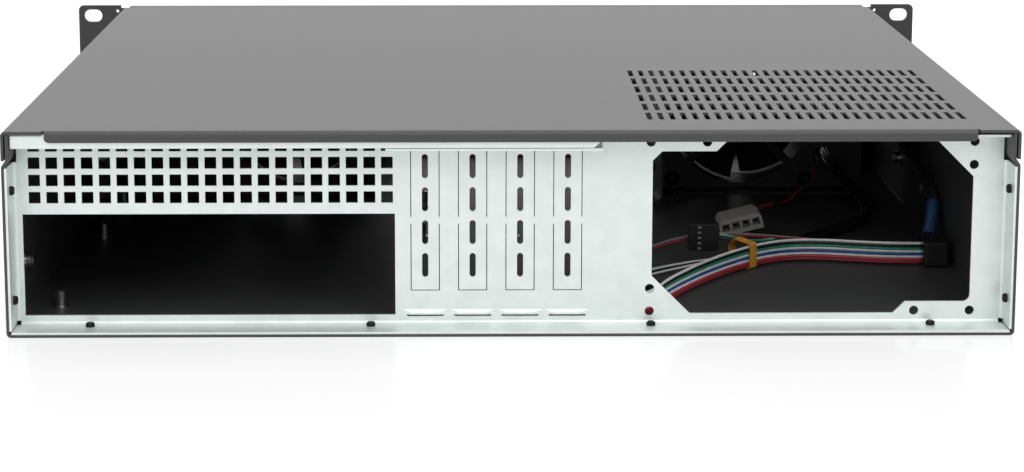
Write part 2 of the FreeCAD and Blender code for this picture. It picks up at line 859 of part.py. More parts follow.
# ---------------------------------------------------------------- cover
def make_top_cover():
    section = [(side_x, skirt_low), (side_x, case_height), (-side_x, case_height), (-side_x, skirt_low)]
    front_y = panel_back_y + panel_flange + sheet_gap
    cover = folded_sheet(section, "XZ", cover_sheet, sheet_bend, front_y, rear_y)
    lip_half = side_x - cover_lip_inset
    relief_half = lip_half + past
    slit_y = rear_y - cover_lip_relief
    through = (cover_under - past, case_height + past)
    relief = block((-relief_half, relief_half), (slit_y, rear_y + past), through)
    line = [(rear_y, cover_lip_low), (rear_y, case_height), (rear_y - cover_lip_flat, case_height)]
    lip = folded_sheet(line, "YZ", cover_sheet, sheet_bend, -lip_half, lip_half)
    corners = []
    lip_depth = (rear_y - cover_sheet - past, rear_y + past)
    for side in sides:
        inner = side * (lip_half - cover_lip_radius)
        tall = (cover_lip_low, cover_lip_low + cover_lip_radius)
        square = block((side * lip_half, inner), lip_depth, tall)
        centre = V(inner, lip_depth[0], tall[1])
        corners.append(square.cut(rod(cover_lip_radius, centre, y_axis, cover_sheet + past * 2)))
    cover = joined([cover.cut(relief), lip.cut(corners)])
    tools = []
    for column in range(cover_vent_columns):
        for row in range(cover_vent_rows):
            low_x = -(side_x - cover_vent_margin) + cover_vent_pitch * column
            high_y = rear_y - cover_vent_depth - cover_vent_step * row
            spans = (low_x, low_x + cover_vent_width), (high_y - cover_vent_length, high_y)
            tools.append(block(spans[0], spans[1], through))
    for side in sides:
        for y in cover_screw_rows:
            start = V(side * side_x, y, cover_screw_height)
            tools.append(cover_screw_hole(start, x_axis * -side))
    return cover.cut(tools)


def cover_screw_hole(position, inward):
    wide = cover_screw_head + slip
    narrow = m3_radius + slip
    return turned(sunk_profile(wide, cover_screw_sink, narrow, cover_sheet), position, inward)


def make_cover_screws():
    screws = []
    for side in sides:
        for y in cover_screw_rows:
            start = V(side * side_x, y, cover_screw_height)
            size = (m3_radius, cover_screw_length, cover_screw_head, cover_screw_sink)
            screws.append(countersunk_screw(start, x_axis * -side, *size))
    return group(screws)


# ---------------------------------------------------------------- front panel
def make_front_panel():
    fold = [(panel_back_y + panel_flange, panel_high), (panel_front_y, panel_high)]
    fold.append((panel_front_y, panel_low))
    half = side_x - panel_relief
    centre = folded_sheet(fold, "YZ", panel_sheet, panel_bend, -half, half)
    ear_end = rack_width / 2
    plate = block((-ear_end, ear_end), (panel_front_y, panel_back_y), (panel_low, panel_high))
    corners = [edge for edge in plate.Edges if at_ear_corner(edge)]
    plate = plate.makeFillet(panel_corner, corners)
    depth = (panel_front_y - past, panel_back_y + past)
    bend_zone = block((-half, half), depth, (panel_high - panel_bend - panel_sheet, case_height))
    panel = joined([plate.cut(bend_zone), centre])
    tools = []
    for side in sides:
        relief = (side * (side_x - panel_relief), side * (side_x + panel_relief))
        tools.append(block(relief, depth, (panel_high - panel_relief_depth, case_height)))
        for z in ear_hole_heights:
            start = V(side * ear_hole_x, depth[0], z)
            reach = x_axis * ((ear_slot_width - ear_slot_height) / 2)
            tools.append(oval(start, reach, ear_slot_height / 2, y_axis, panel_sheet + past * 2))
        for x, z in handle_ends(side):
            tools.append(rod(m4_radius + slip, V(x, depth[0], z), y_axis, panel_sheet + past * 2))
        spot = V(side * (side_x + ear_tooling_outset), depth[0], panel_high - ear_tooling_drop)
        tools.append(rod(ear_tooling_radius, spot, y_axis, panel_sheet + past * 2))
    for x, z in panel_screws:
        tools.append(panel_screw_hole(x, z))
    tools += grille_slots(fan_left_x, fan_grille_columns)
    tools += grille_slots(fan_right_x, fan_grille_columns)
    tools += grille_slots(cage_offset, cage_grille_columns)
    tools += control_holes()
    return panel.cut(tools)


def at_ear_corner(edge):
    """Whether an edge runs through the panel at one of its four outer corners."""
    middle = edge.CenterOfMass
    return abs(middle.y - (panel_front_y + panel_back_y) / 2) < 0.01


def handle_ends(side):
    """Places where a handle's two ends meet the ear."""
    middle = (panel_low + panel_high) / 2
    return [(side * handle_x, middle + end * handle_spacing / 2) for end in sides]


def panel_screw_hole(x, z):
    wide = panel_screw_head + slip
    narrow = m3_radius + slip
    profile = sunk_profile(wide, panel_screw_sink, narrow, panel_sheet)
    return turned(profile, V(x, panel_front_y, z), y_axis)


def grille_slots(middle, columns):
    """Rows of upright round-ended slots, centred on a place across the panel."""
    slots = []
    first_z = (panel_low + panel_high) / 2 - grille_step * (grille_rows - 1) / 2
    first_x = middle - grille_pitch * (columns - 1) / 2
    reach = z_axis * ((grille_height - grille_width) / 2)
    for column in range(columns):
        for row in range(grille_rows):
            start = V(first_x + grille_pitch * column, panel_front_y - past, first_z + grille_step * row)
            slots.append(oval(start, reach, grille_width / 2, y_axis, panel_sheet + past * 2))
    return slots


def control_holes():
    through = panel_sheet + past * 2
    start_y = panel_front_y - past
    holes = [rod(power_radius + button_gap, V(control_x, start_y, power_height), y_axis, through)]
    holes.append(rod(reset_radius + button_gap, V(control_x, start_y, reset_height), y_axis, through))
    for z in light_heights:
        holes.append(rod(light_radius + slip, V(control_x, start_y, z), y_axis, through))
    for x in port_centres:
        wide = (x - port_width / 2 - slip, x + port_width / 2 + slip)
        tall = (port_middle - port_height / 2 - slip, port_middle + port_height / 2 + slip)
        holes.append(block(wide, (start_y, start_y + through), tall))
    return holes


def make_front_panel_screws():
    screws = []
    for x, z in panel_screws:
        size = (m3_radius, panel_screw_length, panel_screw_head, panel_screw_sink)
        screws.append(countersunk_screw(V(x, panel_front_y, z), y_axis, *size))
    return group(screws)


# ---------------------------------------------------------------- handles
def make_handle(side):
    reach_y = panel_front_y - handle_reach + handle_radius
    lower, upper = [V(x, panel_front_y, z) for x, z in handle_ends(side)]
    points = [lower, V(lower.x, reach_y, lower.z), V(upper.x, reach_y, upper.z), upper]
    bar = tube_along(rounded_edges(points, [handle_bend, handle_bend]), ring(handle_radius, lower, y_axis))
    deep = y_axis * handle_thread
    tools = [rod(m4_radius, end - deep, y_axis, handle_thread + past) for end in (lower, upper)]
    return bar.cut(tools)


def make_handle_screws():
    screws = []
    for side in sides:
        for x, z in handle_ends(side):
            start = V(x, panel_back_y, z)
            size = (m4_radius, handle_screw_length, handle_screw_head, handle_screw_rise)
            screws.append(screw(start, -y_axis, *size))
    return group(screws)


# ---------------------------------------------------------------- inside the tray
def make_frame_rivets():
    rivets = [rivet(V(x, y, 0), z_axis, tray_sheet + inner_sheet) for x, y in cage_rivets]
    rivets += [rivet(V(x, y, 0), z_axis, tray_sheet + partition_sheet) for x, y in partition_rivets]
    return group(rivets)


def make_rear_panel_rivets():
    grip = tray_sheet + rear_sheet
    rivets = [rivet(V(x, y, 0), z_axis, grip) for x, y in bottom_rivets]
    for side in sides:
        for z in side_rivet_heights:
            rivets.append(rivet(V(side * side_x, rear_y - side_rivet_depth, z), x_axis * -side, grip))
    return group(rivets)


def make_board_standoffs():
    """Round standoffs, swaged into the floor, with a thread for a board screw."""
    profile = [
        (m3_radius, 0),
        (m3_radius + slip, 0),
        (m3_radius + slip, tray_sheet),
        (standoff_foot_radius, tray_sheet),
        (standoff_foot_radius, tray_sheet + standoff_foot),
        (standoff_radius, tray_sheet + standoff_foot),
        (standoff_radius, tray_sheet + standoff_height - standoff_chamfer),
        (standoff_radius - standoff_chamfer, tray_sheet + standoff_height),
        (standoff_thread, tray_sheet + standoff_height),
        (standoff_thread, tray_sheet + standoff_floor),
        (0, tray_sheet + standoff_floor),
        (0, 0),
    ]
    return group([turned(profile, V(x, y, 0), z_axis) for x, y in standoffs])


def make_rail_inserts():
    """Threaded inserts pressed into the side walls for a pair of slide rails."""
    profile = [
        (m4_radius, 0),
        (insert_radius, 0),
        (insert_radius, tray_sheet),
        (insert_head, tray_sheet),
        (insert_head, tray_sheet + insert_rim),
        (insert_radius, tray_sheet + insert_rim),
        (insert_radius, insert_length),
        (m4_radius, insert_length),
    ]
    pressed = []
    for side in sides:
        for y in inserts:
            pressed.append(turned(profile, V(side * side_x, y, insert_height), x_axis * -side))
    return group(pressed)


def make_front_cross_rail():
    """Channel under the front edge of the cover, with a tab down each side wall."""
    back_y = rail_y + rail_width / 2
    front_y = rail_y - rail_width / 2
    line = [(back_y, cover_under - rail_leg), (back_y, cover_under), (front_y, cover_under)]
    line.append((front_y, cover_under - rail_leg))
    end = upper_inner_x - slip
    rail = folded_sheet(line, "YZ", inner_sheet, sheet_bend, -end + inner_sheet * 2, end - inner_sheet * 2)
    tab = [(end, cover_under - rail_tab), (end, cover_under), (end - rail_tab_lap, cover_under)]
    reach = (rail_y - rail_tab_width / 2, rail_y + rail_tab_width / 2)
    tabs = [folded_sheet(line, "XZ", inner_sheet, sheet_bend, *reach) for line in (tab, mirrored(tab))]
    tools = []
    for side in sides:
        start = V(side * (end + past), rail_y, cover_screw_height)
        tools.append(rod(m3_radius, start, x_axis * -side, inner_sheet + past * 2))
    return joined([rail] + tabs).cut(tools)


def make_drive_cage():
    """Bridge that the drives screw into, open to the front and rear, with an angle behind one wall."""
    outline = [
        (cage_left_x - cage_foot, floor_top),
        (cage_left_x, floor_top),
        (cage_left_x, floor_top + cage_height),
        (cage_high_x, floor_top + cage_height),
        (cage_high_x, floor_top),
        (cage_high_x + cage_foot, floor_top),
    ]
    cage = folded_sheet(outline, "XZ", inner_sheet, sheet_bend, cage_front_y, cage_back_y)
    low = floor_top + cage_wing_low
    wall = cage_left_x - inner_sheet
    wing_line = [(wall, floor_top + cage_height - cage_wing_low), (wall, low), (wall + cage_wing_width, low)]
    wing = folded_sheet(wing_line, "XZ", inner_sheet, cage_wing_bend, cage_back_y, cage_back_y + cage_wing)
    cage = joined([cage, wing])
    foot_gap = (partition_y - partition_sheet - sheet_gap * 2, partition_y + partition_foot + sheet_gap * 2)
    tools = []
    foot_reach = cage_foot + past
    for foot in ((cage_left_x - foot_reach, cage_left_x), (cage_high_x, cage_high_x + foot_reach)):
        tools.append(block(foot, foot_gap, (0, floor_top + inner_sheet + sheet_bend)))
    along = inner_sheet * 2 + past * 2
    reach = y_axis * ((drive_slot_length - drive_slot_width) / 2)
    for x in (cage_left_x, cage_high_x):
        for y in drive_slot_rows:
            for z in drive_slot_heights:
                tools.append(oval(V(x - along / 2, y, z), reach, drive_slot_width / 2, x_axis, along))
    for x, y in cage_rivets:
        tools.append(rod(rivet_radius + slip, V(x, y, 0), z_axis, floor_top + inner_sheet + past))
    return cage.cut(tools)


def make_fan_partition(middle, wall_side):
    """Plate across one side of the case with a round opening for its fan."""
    near = middle - wall_side * (fan_size / 2 + fan_from_cage - inner_sheet - sheet_gap)
    far = wall_side * (wall_inner_x - partition_side_gap)
    span = sorted((near, far))
    line = [(fan_back_y, partition_height), (fan_back_y, floor_top)]
    line.append((partition_y + partition_foot, floor_top))
    plate = folded_sheet(line, "YZ", partition_sheet, sheet_bend, span[0], span[1])
    start_y = fan_back_y - past
    through = partition_sheet + past * 2
    tools = [rod(fan_bore_radius, V(middle, start_y, fan_z), y_axis, through)]
    for x, z in fan_holes(middle):
        tools.append(rod(fan_screw_radius + slip, V(x, start_y, z), y_axis, through))
    lead = V(middle + wall_side * lead_hole_offset, start_y, lead_hole_height)
    tools.append(rod(lead_hole_radius, lead, y_axis, through))
    for x, y in partition_rivets:
        tools.append(rod(rivet_radius + slip, V(x, y, 0), z_axis, floor_top + partition_sheet + past))
    return plate.cut(tools)


def fan_holes(middle):
    half = fan_hole_spacing / 2
    return [(middle + across * half, fan_z + up * half) for across in sides for up in sides]


def make_fan_frame(middle, wall_side):
    """Square fan housing: bore, channel for its lead, motor seat on its arms, and bearing tube."""
    half = fan_size / 2
    span = (fan_front_y, fan_back_y)
    frame = block((middle - half, middle + half), span, (fan_z - half, fan_z + half))
    corners = [edge for edge in frame.Edges if abs(edge.CenterOfMass.y - (span[0] + span[1]) / 2) < 0.01]
    frame = frame.makeFillet(fan_corner_radius, corners)
    frame = frame.cut(rod(fan_bore_radius, V(middle, fan_front_y, fan_z), y_axis, fan_depth))
    seat = rod(fan_motor_radius, V(middle, fan_back_y - fan_seat, fan_z), y_axis, fan_seat)
    bearing_y = fan_back_y - fan_bearing_length
    bearing = rod(fan_bearing_radius, V(middle, bearing_y, fan_z), y_axis, fan_bearing_length)
    arms = []
    arm_reach = (fan_motor_radius - fan_arm_overlap, fan_bore_radius + fan_arm_overlap)
    for index in range(fan_arms):
        arm = block((-fan_arm / 2, fan_arm / 2), (fan_back_y - fan_seat, fan_back_y), arm_reach)
        arm.translate(V(middle, 0, fan_z))
        arm.rotate(V(middle, 0, fan_z), y_axis, 360 / fan_arms * (index + 0.5))
        arms.append(arm)
    frame = joined([frame, seat, bearing] + arms)
    bore = V(middle, bearing_y - past, fan_z)
    tools = [rod(fan_shaft_radius + fan_shaft_gap, bore, y_axis, fan_bearing_length)]
    for x, z in fan_holes(middle):
        tools.append(rod(fan_screw_radius, V(x, fan_front_y - past, z), y_axis, fan_depth + past * 2))
    channel = (middle + wall_side * (half - fan_channel_inset), middle + wall_side * (half + past))
    channel_y = (fan_back_y - fan_channel_length, fan_back_y + past)
    tools.append(block(channel, channel_y, (fan_channel_low, fan_channel_high)))
    return frame.cut(tools)


def make_fan_rotor(middle):
    """Hub cup, shaft and blades turning inside the frame."""
    hub_front_y = fan_front_y + fan_blade_gap
    hub_length = fan_depth - fan_seat - fan_blade_gap * 2
    hub = rod(fan_hub_radius, V(middle, hub_front_y, fan_z), y_axis, hub_length)
    hollow_start = V(middle, hub_front_y + fan_hub_wall, fan_z)
    hollow = rod(fan_hub_radius - fan_hub_wall, hollow_start, y_axis, hub_length)
    shaft_length = fan_depth - fan_blade_gap - fan_shaft_floor
    shaft = rod(fan_shaft_radius, V(middle, hub_front_y, fan_z), y_axis, shaft_length)
    tip = fan_bore_radius - fan_blade_gap
    origin = V(0, 0, 0)
    core = rod(fan_hub_radius - fan_hub_wall / 2, origin, y_axis, hub_length)
    swept = rod(tip, origin, y_axis, hub_length).cut(core)
    blades = []
    for index in range(fan_blades):
        blade = fan_blade(hub_length, tip).common(swept)
        blade.translate(V(middle, hub_front_y, fan_z))
        blade.rotate(V(middle, 0, fan_z), y_axis, 360.0 / fan_blades * index)
        blades.append(blade)
    return joined([hub.cut(hollow), shaft] + blades)


def fan_blade(length, tip):
    """One blade, twisted between its root inside the hub's wall and its tip."""
    radii = (fan_hub_radius * fan_blade_root, tip * fan_blade_waist, tip + past)
    wires = []
    for radius, degrees in zip(radii, fan_blade_pitches):
        pitch = math.radians(degrees)
        chord = (length - fan_blade_gap) / math.sin(pitch) * fan_blade_fill
        run = V(math.cos(pitch), math.sin(pitch), 0) * (chord / 2)
        across = V(-math.sin(pitch), math.cos(pitch), 0) * (fan_blade_sheet / 2)
        middle = V(0, length / 2, radius)
        corners = [middle - run - across, middle + run - across, middle + run + across, middle - run + across]
        wires.append(Part.makePolygon(corners + corners[:1]))
    return Part.makeLoft(wires, True, False)


def make_fan_screws():
    """Self-tapping screws that hold each fan to its partition from the rear."""
    screws = []
    for middle in (fan_left_x, fan_right_x):
        for x, z in fan_holes(middle):
            size = (fan_screw_radius, fan_screw_length, fan_screw_head, fan_screw_rise)
            screws.append(screw(V(x, partition_y, z), -y_axis, *size))
    return group(screws)


# ---------------------------------------------------------------- front controls
def make_control_board():
    across = (control_x - board_width / 2, control_x + board_width / 2)
    board = block(across, (panel_back_y + board_gap, board_back_y), (board_low, board_high))
    tools = []
    for z in spacer_heights:
        start = V(control_x, board_back_y - board_sheet - past, z)
        tools.append(rod(m3_radius + slip, start, y_axis, board_sheet + past * 2))
    return board.cut(tools)


def make_board_spacers():
    spacers = []
    for z in spacer_heights:
        start = V(control_x, panel_back_y, z)
        post = rod(spacer_radius, start, y_axis, board_gap)
        spacers.append(post.cut(rod(m3_radius, start + y_axis * spacer_floor, y_axis, board_gap)))
    return group(spacers)


def make_board_screws():
    size = (m3_radius, board_sheet + board_screw_reach, spacer_radius, board_sheet)
    return group([screw(V(control_x, board_back_y, z), -y_axis, *size) for z in spacer_heights])


def make_button_switches():
    """Tactile switches on the board, each with a plunger that reaches into a button's stem."""
    switches = []
    front_y = panel_back_y + board_gap - switch_height
    half = switch_size / 2
    across = (control_x - half, control_x + half)
    for z in (power_height, reset_height):
        body = block(across, (front_y, front_y + switch_height), (z - half, z + half))
        start = V(control_x, front_y - button_travel - stem_gap, z)
        plunger = rod(plunger_radius, start, y_axis, switch_height)
        switches.append(joined([body, plunger]))
    return group(switches)


def make_button(radius, z):
    """Button with a flange behind the panel and a hollow stem over the switch's plunger."""
    flange_y = panel_back_y + slip
    stem_end = panel_back_y + board_gap - switch_height - button_travel - stem_gap
    cap_start = V(control_x, panel_front_y - button_proud, z)
    cap = rod(radius, cap_start, y_axis, flange_y + button_flange_sheet - cap_start.y)
    rim = [edge for edge in cap.Edges if abs(edge.CenterOfMass.y - cap_start.y) < 0.01]
    cap = cap.makeFillet(button_gap * 2, rim)
    flange = rod(radius + button_flange, V(control_x, flange_y, z), y_axis, button_flange_sheet)
    stem = rod(stem_radius, V(control_x, flange_y, z), y_axis, stem_end - flange_y)
    bore_start = V(control_x, stem_end - button_travel - stem_gap, z)
    return joined([cap, flange, stem]).cut(rod(plunger_radius + plunger_gap, bore_start, y_axis, board_gap))


def make_indicator_lights():
    lights = []
    for z in light_heights:
        start = V(control_x, panel_front_y - light_proud, z)
        light = rod(light_radius, start, y_axis, light_proud + panel_sheet + board_gap)
        rim = [edge for edge in light.Edges if abs(edge.CenterOfMass.y - start.y) < 0.01]
        lights.append(light.makeFillet(light_rounding, rim))
    return group(lights)


def make_usb_ports():
    """Two upright ports: a thin shell, open to the front, around a contact tongue."""
    ports = []
    for x in port_centres:
        wide = (x - port_width / 2, x + port_width / 2)
        tall = (port_middle - port_height / 2, port_middle + port_height / 2)
        end_y = panel_back_y + board_gap
        shell = block(wide, (panel_front_y, end_y), tall)
        inner_wide = (wide[0] + port_shell, wide[1] - port_shell)
        inner_tall = (tall[0] + port_shell, tall[1] - port_shell)
        hollow = block(inner_wide, (panel_front_y - past, panel_front_y + port_depth), inner_tall)
        tongue_x = (inner_wide[1] - port_shell - port_tongue, inner_wide[1] - port_shell)
        tongue_z = (inner_tall[0] + port_shell, inner_tall[1] - port_shell)
        tongue = block(tongue_x, (panel_front_y + port_tongue_setback, end_y - port_shell), tongue_z)
        ports.append(joined([shell.cut(hollow), tongue]))
    return group(ports)


def make_lead_sockets():
    sockets = []
    for z in socket_heights:
        across = (control_x - socket_width / 2, control_x + socket_width / 2)
        tall = (z - socket_height / 2, z + socket_height / 2)
        sockets.append(block(across, (board_back_y, board_back_y + socket_length), tall))
    return group(sockets)


# ---------------------------------------------------------------- leads lying in the supply bay
# Places along a lead are (distance toward -X, depth in from the rear edge, height).
def place(along, depth, height):
    return V(-along, rear_y - depth, height)


lead_routes = {
    "panel_harness": [
        (195, 370.4, 50), (195, 356, 50), (198, 338, 48.4), (202.5, 318, 46), (204.8, 297, 44),
        (205.6, 275, 43), (205.3, 253, 42), (205.8, 232, 41), (205.4, 212, 40), (205.9, 193, 38.3),
        (206.2, 176, 35), (207.2, 163.5, 31.6), (208.3, 153, 27), (207, 144.8, 21), (204.4, 137.4, 14.4),
        (201.4, 131, 8.8),
    ],
    "black_lead": [
        (190.5, 370.4, 30), (190.5, 356, 30), (187.5, 338, 27.6), (182.9, 320, 24), (178.8, 304, 21),
        (176.9, 288, 19.4), (177.4, 272, 17.8), (180.5, 255, 15), (185.4, 238, 11.2), (187.6, 221, 7.4),
        (184.8, 205, 5.2), (176, 191, 4.8), (164.5, 177.5, 4.8), (152, 164, 4.9), (140, 150, 4.8),
        (128, 135.5, 4.9), (115.5, 120, 5), (101.5, 104.5, 5), (87, 86, 4.9), (73.5, 68, 4.9),
        (60, 53.5, 5), (47.5, 43, 5),
    ],
    "usb_lead": [
        (197.5, 123.8, 10.2), (189, 123.8, 10.2), (178, 126.8, 9.6), (165, 131.8, 8.7), (150.5, 134, 8.2),
        (136.5, 132.8, 9.4), (124.5, 128.6, 10.8), (115.5, 124.9, 12.4), (108.2, 122.7, 14.2),
        (101, 122.7, 14.2),
    ],
    "switch_lead": [
        (197.5, 128.6, 8.6), (189, 128.6, 8.6), (178, 132, 8.2), (165, 137.2, 7.8), (150.5, 139.6, 8.2),
        (136, 138.8, 9.5), (122, 135.2, 11.4), (108.5, 131.4, 12.9), (95.5, 129, 13.2), (83, 126.2, 12.2),
        (71, 120.5, 10.2), (60, 112.8, 8.4), (50, 104.8, 8.4),
    ],
    "white_lead": [
        (117.4, 130.2, 3.4), (109.5, 126.2, 3.3), (99.5, 120.6, 3.4), (88, 113.2, 3.5), (76, 104, 3.7),
        (64.5, 93.6, 3.9), (54.5, 83.2, 3.9),
    ],
    "fan_lead": [
        (160.5, 302, 17), (166.6, 302, 17), (171.2, 297.8, 17.6), (172.6, 290, 18.4), (171.7, 280, 18.6),
        (169, 267, 17.6), (164.5, 253, 15.6), (158, 239, 12.8), (150, 226.5, 10.2), (141.6, 217.6, 8.7),
        (133.2, 214.2, 8.2), (126.4, 210, 8.2), (120.8, 205.7, 8.2), (117.8, 200, 8.2), (117.8, 193.6, 8.2),
    ],
}
ribbon_route = [
    (197.5, 118.4), (184, 118.4), (168, 121.6), (150, 126.3), (134, 125.8), (119, 117), (104, 101.5),
    (90, 83), (78, 64), (69.5, 48.5), (64.5, 35), (57.5, 25), (47, 20.5), (34, 19.2),
]
lead_radii = {
    "panel_harness": 2.75,
    "black_lead": 2.8,
    "usb_lead": 1.6,
    "switch_lead": 1.2,
    "white_lead": 1.5,
    "fan_lead": 1.1,
}


def make_lead(name):
    points = [place(*spot) for spot in lead_routes[name]]
    bends = bend_radii(points)
    edges = rounded_edges(points, bends)
    radius = lead_radii[name]
    lead = tube_along(edges, ring(radius, points[0], points[1] - points[0]))
    length = sum(edge.Length for edge in edges)
    drift = lead.Volume / (math.pi * radius ** 2 * length) - 1
    report_lead(name, length, min(bends), drift)
    return lead


def report_lead(name, length, tightest, drift):
    print(name, "length", round(length, 1), "tightest radius", round(tightest, 1), "drift", round(drift, 4))


def make_ribbon_lead():
    """Flat lead of eight wires standing on edge."""
    points = [place(along, depth, 0) for along, depth in ribbon_route]
    bends = bend_radii(points)
    half = ribbon_thickness / 2
    flat = [(point.x, point.y) for point in points]
    lead = band(flat, "XY", bends, -half, half, ribbon_low, ribbon_low + ribbon_width)
    length = sum(edge.Length for edge in rounded_edges(points, bends))
    drift = lead.Volume / (ribbon_thickness * ribbon_width * length) - 1
    report_lead("ribbon_lead", length, min(bends), drift)
    return lead


def plug_at(end, before, size):
    """Housing at the end of a lead: size is its length along the lead, width and height."""
    direction = (end - before).normalize()
    length, width, height = size
    housing = block((0, length), (-width / 2, width / 2), (-height / 2, height / 2))
    edges = [edge for edge in housing.Edges if abs(edge.CenterOfMass.x - length / 2) < 0.01]
    housing = housing.makeChamfer(plug_chamfer, edges)
    level = V(direction.x, direction.y, 0)
    turn = FreeCAD.Rotation(x_axis, level)
    housing.Placement = FreeCAD.Placement(end, turn)
    return housing


def lead_plug(name, size):
    spots = [place(*spot) for spot in lead_routes[name][-2:]]
    level_before = V(spots[0].x, spots[0].y, spots[1].z)
    return plug_at(spots[1], level_before, size)


def make_ribbon_plug():
    height = ribbon_low + ribbon_width / 2
    spots = [place(along, depth, height) for along, depth in ribbon_route[-2:]]
    return plug_at(spots[1], spots[0], ribbon_plug_size)


def make_header_plug():
    """Upright two-row housing of a board header, with its ten contact windows."""
    housing = lead_plug("usb_lead", header_size)
    end = place(*lead_routes["usb_lead"][-1])
    length, width, height = header_size
    tools = []
    for index in range(header_pins):
        z = end.z + header_pitch * (index - (header_pins - 1) / 2)
        tall = (z - header_window_height / 2, z + header_window_height / 2)
        low_x = end.x + header_window_place
        for side in sides:
            y = end.y + side * width / 2
            reach = (y - header_window_depth, y + header_window_depth)
            tools.append(block((low_x, low_x + header_window), reach, tall))
    return housing.cut(tools)


def make_power_plug():
    """Four-way housing with square openings, lying tilted on the leads beneath it."""
    length, width, height = power_size
    housing = block((-width / 2, width / 2), (0, length), (-height / 2, height / 2))
    corners = []
    for edge in housing.Edges:
        middle = edge.CenterOfMass
        if abs(middle.z - height / 2) < 0.01 and abs(abs(middle.x) - width / 2) < 0.01:
            corners.append(edge)
    housing = housing.makeChamfer(power_chamfer, corners)
    tools = []
    for index in range(power_pins):
        x = power_pitch * (index - (power_pins - 1) / 2)
        half = power_opening / 2
        deep = (length - power_opening_depth, length + past)
        tools.append(block((x - half, x + half), deep, (-half, half)))
    housing = housing.cut(tools)
    end = place(*lead_routes["fan_lead"][-1])
    housing.Placement = FreeCAD.Placement(end, FreeCAD.Rotation(y_axis, power_tilt))
    return housing


def make_harness_clip():
    """Moulded block where the front leads come together beside the wall."""
    near = place(clip_along[0], clip_depth[0], clip_low)
    far = place(clip_along[1], clip_depth[1], clip_high)
    clip = block((near.x, far.x), (near.y, far.y), (clip_low, clip_high))
    return clip.makeFillet(clip_round, clip.Edges)


def make_blue_wrap():
    """Sleeve of tape around the harness above the clip."""
    spots = [place(*spot) for spot in lead_routes["panel_harness"]]
    edges = rounded_edges(spots, bend_radii(spots))
    chosen = [edge for edge in edges if wrap_low < edge.CenterOfMass.z < wrap_high]
    first = chosen[0].Vertexes[0].Point
    direction = chosen[0].tangentAt(chosen[0].FirstParameter)
    inner = lead_radii["panel_harness"]
    outer = tube_along(chosen, ring(inner + wrap_sheet, first, direction))
    return outer.cut(tube_along(chosen, ring(inner, first, direction)))


def make_twist_tie():
    """Paper-covered tie bent into a loop around the ribbon and the leads beside it."""
    along = V(-tie_direction[0], -tie_direction[1], 0).normalize()
    across = z_axis.cross(along)
    centre = place(*tie_centre)
    spots = [centre + across * u + z_axis * v - along * (tie_width / 2) for u, v in tie_loop]
    loop = Part.Wire(rounded_loop(spots, tie_bend))
    outer = loop.makeOffset2D(tie_sheet)
    band_face = Part.Face(outer).cut(Part.Face(loop))
    return band_face.extrude(along * tie_width)


def rounded_loop(spots, radius):
    """Closed line with every corner rounded."""
    middle = (spots[0] + spots[1]) * 0.5
    around = [middle] + spots[1:] + [spots[0], middle]
    return rounded_edges(around, [radius] * len(spots))


# ---------------------------------------------------------------- every piece
export("base_tray", make_base_tray())
export("rear_panel", make_rear_panel())
export("rear_panel_rivets", make_rear_panel_rivets())
export("card_ledge", make_card_ledge())
export("top_cover", make_top_cover())
export("cover_screws", make_cover_screws())
export("front_panel", make_front_panel())
export("front_panel_screws", make_front_panel_screws())
export("handle_left", make_handle(1))
export("handle_right", make_handle(-1))
export("handle_screws", make_handle_screws())
export("frame_rivets", make_frame_rivets())
export("board_standoffs", make_board_standoffs())
export("rail_inserts", make_rail_inserts())
export("front_cross_rail", make_front_cross_rail())
export("drive_cage", make_drive_cage())
export("fan_partition_left", make_fan_partition(fan_left_x, 1))
export("fan_partition_right", make_fan_partition(fan_right_x, -1))
export("fan_left_frame", make_fan_frame(fan_left_x, 1))
export("fan_left_rotor", make_fan_rotor(fan_left_x))
export("fan_right_frame", make_fan_frame(fan_right_x, -1))
export("fan_right_rotor", make_fan_rotor(fan_right_x))
export("fan_screws", make_fan_screws())
export("control_board", make_control_board())
export("board_spacers", make_board_spacers())
export("board_screws", make_board_screws())
export("button_switches", make_button_switches())
export("power_button", make_button(power_radius, power_height))
export("reset_button", make_button(reset_radius, reset_height))
export("indicator_lights", make_indicator_lights())
export("usb_ports", make_usb_ports())
export("lead_sockets", make_lead_sockets())
for lead_name in lead_routes:
    export(lead_name, make_lead(lead_name))
export("ribbon_lead", make_ribbon_lead())
export("ribbon_plug", make_ribbon_plug())
export("black_plug", lead_plug("black_lead", black_plug_size))
export("switch_plug", lead_plug("switch_lead", switch_plug_size))
export("white_plug", lead_plug("white_lead", white_plug_size))
export("header_plug", make_header_plug())
export("power_plug", make_power_plug())
export("harness_clip", make_harness_clip())
export("blue_wrap", make_blue_wrap())
export("twist_tie", make_twist_tie())
